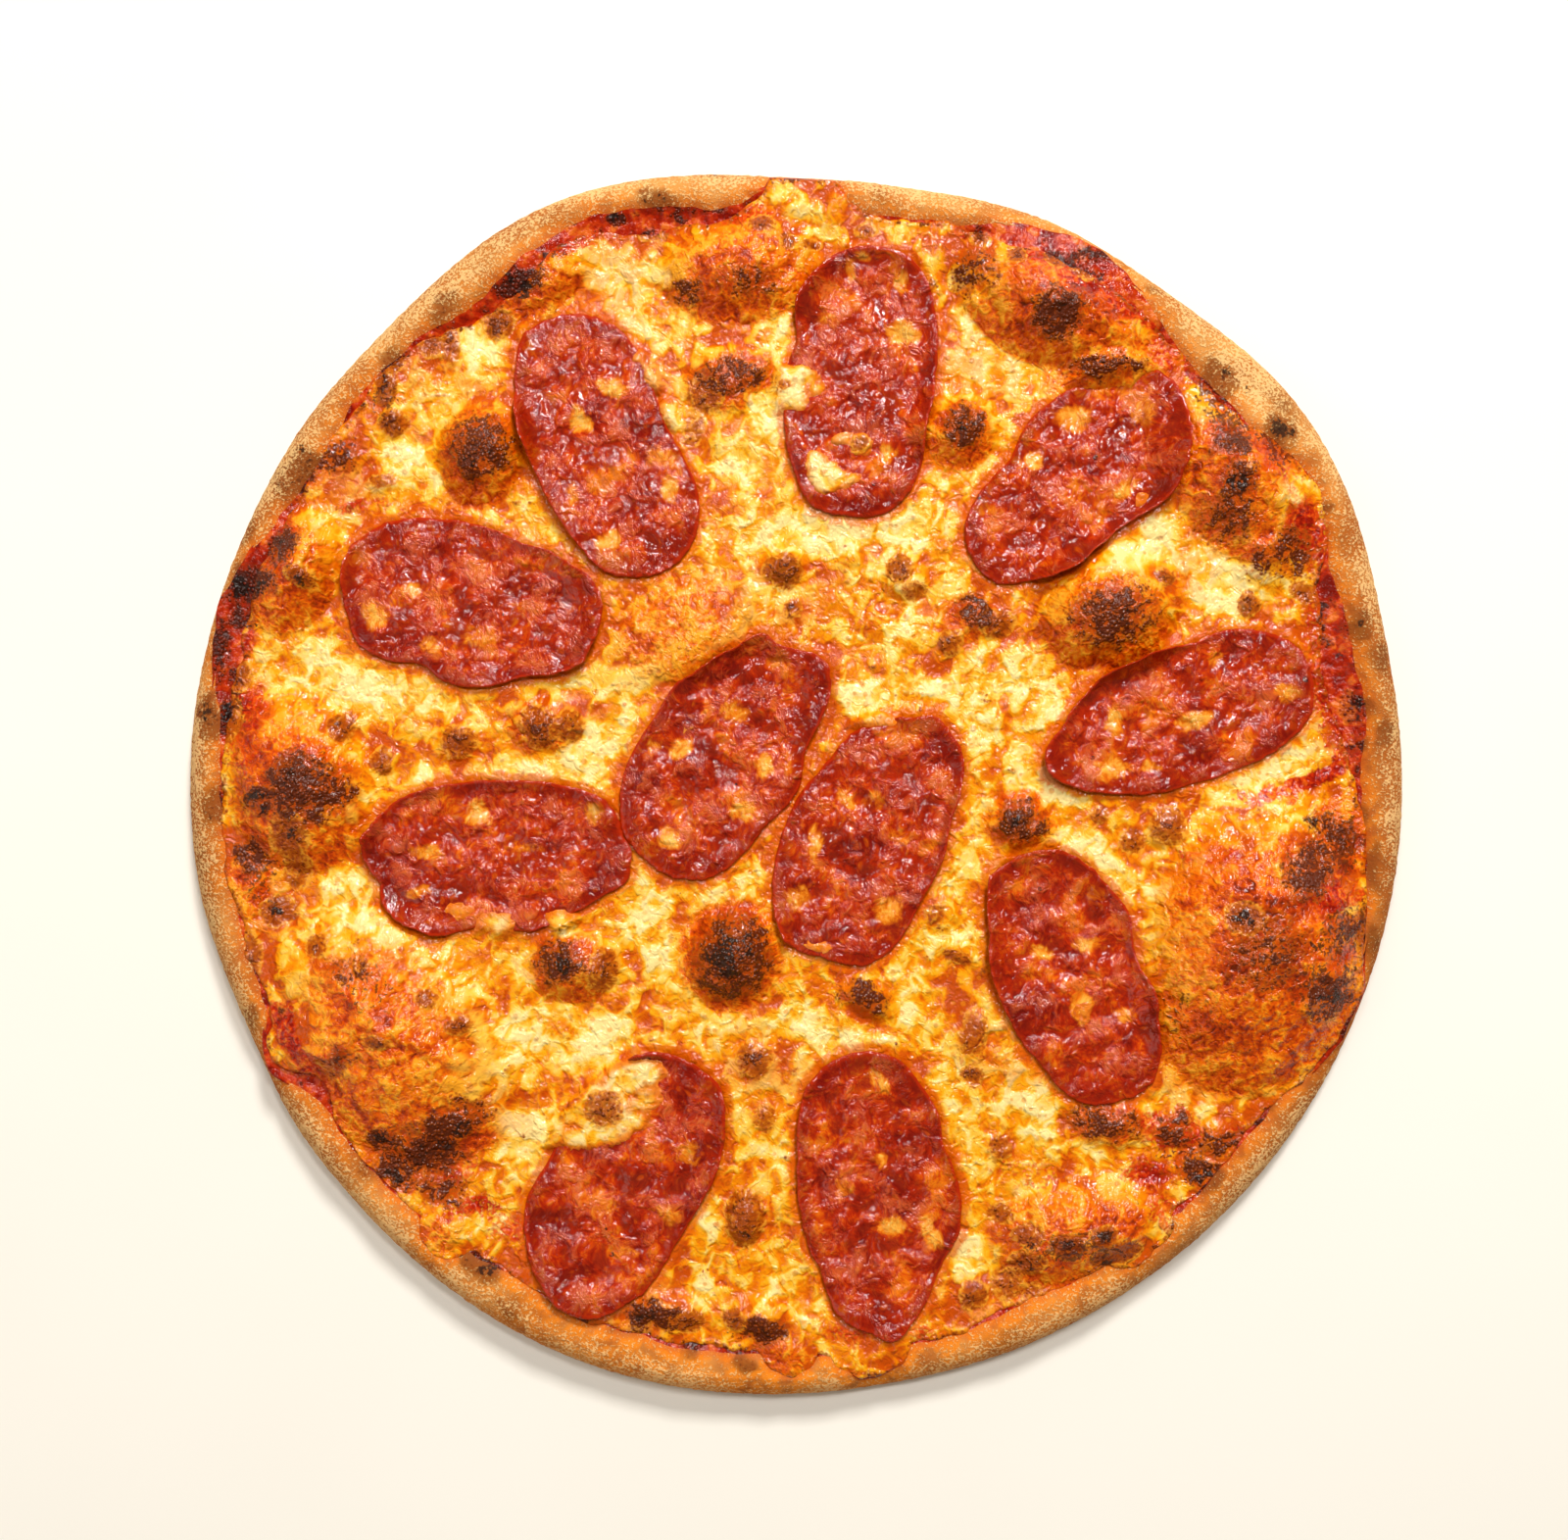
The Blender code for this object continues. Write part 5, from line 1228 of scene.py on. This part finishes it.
def salamiMaterial():
    material, tree, shader, place = newMaterial("curedSalami", salami["gloss"])
    # the grain is bent, so that the cuts look torn
    swirl = tree.nodes.new("ShaderNodeTexNoise")
    swirl.noise_dimensions = "2D"
    feed(tree, swirl.inputs["Vector"], place)
    swirl.inputs["Scale"].default_value = 0.16
    swirl.inputs["Detail"].default_value = 1.0
    push = tree.nodes.new("ShaderNodeVectorMath")
    push.operation = "MULTIPLY_ADD"
    feed(tree, push.inputs[0], swirl.outputs["Color"])
    push.inputs[1].default_value = [salami["bend"]] * 3
    feed(tree, push.inputs[2], place)
    bent = push.outputs[0]
    broad = noise(tree, place, salami["broadSize"], 2.0, 0.4, 0.45)
    # soft grains of lean and fat meat
    grains = cells(tree, bent, salami["grainSize"], "SMOOTH_F1", 0.3)
    kind = tree.nodes.new("ShaderNodeSeparateColor")
    feed(tree, kind.inputs[0], grains.outputs["Color"])
    # streaks run along the cut
    stretch = tree.nodes.new("ShaderNodeMapping")
    stretch.inputs["Rotation"].default_value = (0, 0, 0.9)
    stretch.inputs["Scale"].default_value = (1.0, 0.7, 1.0)
    feed(tree, stretch.inputs["Vector"], bent)
    streak = noise(tree, stretch.outputs[0], salami["streakSize"], 2.0, 0.1, 0.6)
    fine = noise(tree, bent, salami["fineSize"], 2.0, 0.1, 0.6)
    pinkPlace = noise(tree, bent, salami["pinkSize"], 2.0, 0.2, 0.5)
    body = total(tree, -0.96, (broad, 1.2), (kind.outputs[0], 0.1), (pinkPlace, 0.5), (streak, 0.6),
                 (fine, 0.5))
    tint = tones(tree, body, *salami["meat"])
    pinkMask = total(tree, -0.75, (pinkPlace, 1.3), (kind.outputs[1], 0.15), (streak, 0.65), (fine, 0.3))
    tint = mix(tree, ramp(tree, pinkMask, 0.46, 0.86, 0.0, 0.68), tint, salami["pink"])
    mauveMask = total(tree, 1.05, (pinkPlace, -1.5), (kind.outputs[2], -0.15), (streak, 0.5), (fine, -0.15))
    tint = mix(tree, ramp(tree, mauveMask, 0.44, 0.8, 0.0, 0.6), tint, salami["mauve"])
    # crumbs and larger pieces of fat
    crumbs = useGroup(tree, roundDots, Vector=bent, Size=salami["crumbSize"], Amount=0.36, Softness=0.22)
    fat = field(tree, "fat")
    largeFat = ramp(tree, total(tree, -0.5, (fat, 1.0), (streak, 0.7), (fine, 0.3)), 0.02, 0.75)
    fatty = calc(tree, "MAXIMUM", times(tree, crumbs["Mask"], 0.42), times(tree, largeFat, 0.95))
    fatTone = total(tree, -0.42, (fat, 0.5), (streak, 0.55), (fine, 0.45))
    tint = mix(tree, fatty, tint, tones(tree, fatTone, *salami["fat"]))
    edge = field(tree, "rim")
    tint = mix(tree, times(tree, ramp(tree, edge, 0.8, 0.95), 0.5), tint, salami["band"])
    tint = mix(tree, times(tree, ramp(tree, edge, 0.96, 0.99), 0.75), tint, salami["rind"])
    # cracked pepper
    pepper = useGroup(tree, roundDots, Vector=place, Size=salami["pepperSize"], Amount=0.08, Softness=0.18)
    cracked = total(tree, -0.45, (pepper["Mask"], 1.0), (fine, 0.9))
    tint = mix(tree, ramp(tree, cracked, 0.72, 0.86, 0.0, 0.85), tint, salami["pepper"])
    # small wet wrinkles, stronger in some places
    wrinkled = ramp(tree, pinkPlace, 0.4, 0.6, 0.25, 0.8)
    lumpy = total(tree, 0.0, (streak, 0.75), (fine, 0.45))
    height = total(tree, times(tree, lumpy, wrinkled), (pinkPlace, 0.5), (kind.outputs[0], 0.1),
                   (fatty, -0.06))
    rough = ramp(tree, broad, 0.35, 0.65, 0.04, 0.1)
    finishMaterial(tree, shader, tint, rough, height)
    return material


def pressedFlat(x, y):
    # 0 under the cheese that lies on a slice, 1 where the slice is free
    return 1 - smooth(overSlices(x, y), 0.02, 0.3)


def buildSlice(index, row, material):
    around, thick = salami["around"], salami["thick"]
    angle = np.arange(around) * 2 * math.pi / around
    layers = []
    shareList = []
    degrees = np.degrees(angle)
    edgeX, edgeY = slicePoint(index - 1, np.ones(around), angle)
    away = polar(edgeX - row[0], edgeY - row[1])[1] - salami["curlTowards"][index - 1]
    towards = smooth(np.cos(np.radians(away)), -0.3, 1.0)
    lift = row[-1] * (0.08 + 0.92 * towards)
    curl = 0.7 * aroundNoise(degrees, 30, 300 + index) + 0.45 * aroundNoise(degrees, 11, 330 + index)
    curl = curl * (0.25 + 0.75 * towards)
    for share in np.linspace(salami["middle"], 1.0, salami["rings"]):
        x, y = slicePoint(index - 1, np.full(around, share), angle)
        free = pressedFlat(x, y)
        z = restingHeight(x, y) + (lift + curl) * share ** 7 * free
        relief = 0.8 * fractal(x, y, 9, 3, 400 + index) + 0.18 * fractal(x, y, 2.6, 2, 430)
        z = z + relief * (1 - 0.5 * share ** 8) * free
        layers.append(np.stack([x, y, z + thick * (1 - 0.3 * share ** 24)], axis=-1))
        shareList.append(np.full(around, share))
    edge = layers[-1]
    centre = np.array([row[0], row[1]])
    outward = edge[:, :2] - centre
    outward /= np.hypot(*outward.T)[:, None]
    for out, down in salami["edge"]:
        layers.append(np.concatenate([edge[:, :2] + outward * out, edge[:, 2:] - down], axis=1))
        shareList.append(np.full(around, 1.0))
    for share in salami["underShares"]:
        x, y = slicePoint(index - 1, np.full(around, share), angle)
        z = restingHeight(x, y) + (lift + curl) * share ** 7 * pressedFlat(x, y)
        layers.append(np.stack([x, y, z], axis=-1))
        shareList.append(np.full(around, share))
    points = np.concatenate(layers)
    last = (len(layers) - 1) * around
    faces = np.concatenate([ringFaces(len(layers), around)[:, ::-1], capFaces(0, around),
                            capFaces(last, around)[:, ::-1]])
    x, y = points[:, :2].T
    fatPieces = wider(salami["fatPieces"], 1.25)
    fields = dict(rim=np.concatenate(shareList), fat=spots(x, y, fatPieces, 0.7, 1.4, most=True))
    number = f"{index:02d}"
    meshObject("salamiSlice" + number, points, faces, material, "salami_" + number, fields)


def buildSalami():
    material = salamiMaterial()
    for index, row in enumerate(slices):
        buildSlice(index + 1, row, material)
    print("salami:", len(slices), "slices")


buildDough()
buildSauce()
buildCheese()
buildSalami()


# Floor, light and camera

studio = dict(
    floor=colour(250, 247, 240), floorCloud=colour(238, 232, 222), floorCloudSize=120.0, floorSize=4.0,
    floorDrop=0.4, skyStrength=0.17, sky=colour(255, 236, 208),
    # plain sRGB display, so that the colours in the tables are the colours seen
    display="Standard",
    # square lights that face the middle: name, place in metres, size in metres, watts, tint
    lights=(
        ("windowLight", (0.4, 1.45, 1.35), 0.36, 33.0, (1.0, 0.975, 0.92)),
        ("ceilingLight", (0.25, 0.5, 1.25), 0.2, 5.6, (1.0, 0.985, 0.95)),
        ("secondCeilingLight", (-0.3, 0.4, 1.25), 0.16, 3.0, (1.0, 0.985, 0.95)),
        ("sideFill", (-0.9, -0.5, 0.9), 0.8, 2.2, (1.0, 0.93, 0.84)),
    ),
    # the camera looks straight down: the middle of its view, the level that is sharp in scale, its
    # distance from that level, the width of the view there, and the sensor
    viewMiddle=(-3.2, 3.7), viewLevel=8.0, viewDistance=500.0, viewWidth=409.0, sensorWidth=36.0,
)


def buildFloor():
    half = studio["floorSize"] / 2
    mesh = bpy.data.meshes.new("floor")
    corners = [(-half, -half, 0), (half, -half, 0), (half, half, 0), (-half, half, 0)]
    mesh.from_pydata(corners, [], [(0, 1, 2, 3)])
    material, tree, shader, place = newMaterial("paleFloor", 0.2)
    cloud = noise(tree, place, studio["floorCloudSize"], 2.0)
    tint = mix(tree, ramp(tree, cloud, 0.3, 0.7, 0.0, 0.12), studio["floor"], studio["floorCloud"])
    feed(tree, shader.inputs["Base Color"], tint)
    shader.inputs["Roughness"].default_value = 0.7
    mesh.materials.append(material)
    floor = bpy.data.objects.new("floor", mesh)
    floor.location.z = -studio["floorDrop"] * mm
    bpy.context.scene.collection.objects.link(floor)


def areaLight(name, place, size, power, tint):
    light = bpy.data.lights.new(name, "AREA")
    light.shape = "SQUARE"
    light.size = size
    light.energy = power
    light.color = tint
    lamp = bpy.data.objects.new(name, light)
    lamp.location = place
    lamp.rotation_euler = (-Vector(place)).to_track_quat("-Z", "Y").to_euler()
    bpy.context.scene.collection.objects.link(lamp)


def buildStudio():
    buildFloor()
    world = bpy.data.worlds.new("softSky")
    world.use_nodes = True
    background = world.node_tree.nodes["Background"]
    background.inputs[0].default_value = studio["sky"]
    background.inputs[1].default_value = studio["skyStrength"]
    bpy.context.scene.world = world
    bpy.context.scene.view_settings.view_transform = studio["display"]
    for row in studio["lights"]:
        areaLight(*row)


def buildCamera():
    data = bpy.data.cameras.new("topCamera")
    camera = bpy.data.objects.new("topCamera", data)
    x, y = studio["viewMiddle"]
    camera.location = (x * mm, y * mm, (studio["viewLevel"] + studio["viewDistance"]) * mm)
    camera.rotation_euler = (0, 0, 0)
    data.sensor_width = studio["sensorWidth"]
    data.lens = studio["sensorWidth"] * studio["viewDistance"] / studio["viewWidth"]
    bpy.context.scene.collection.objects.link(camera)
    bpy.context.scene.camera = camera


buildStudio()
buildCamera()
print("studio ready")
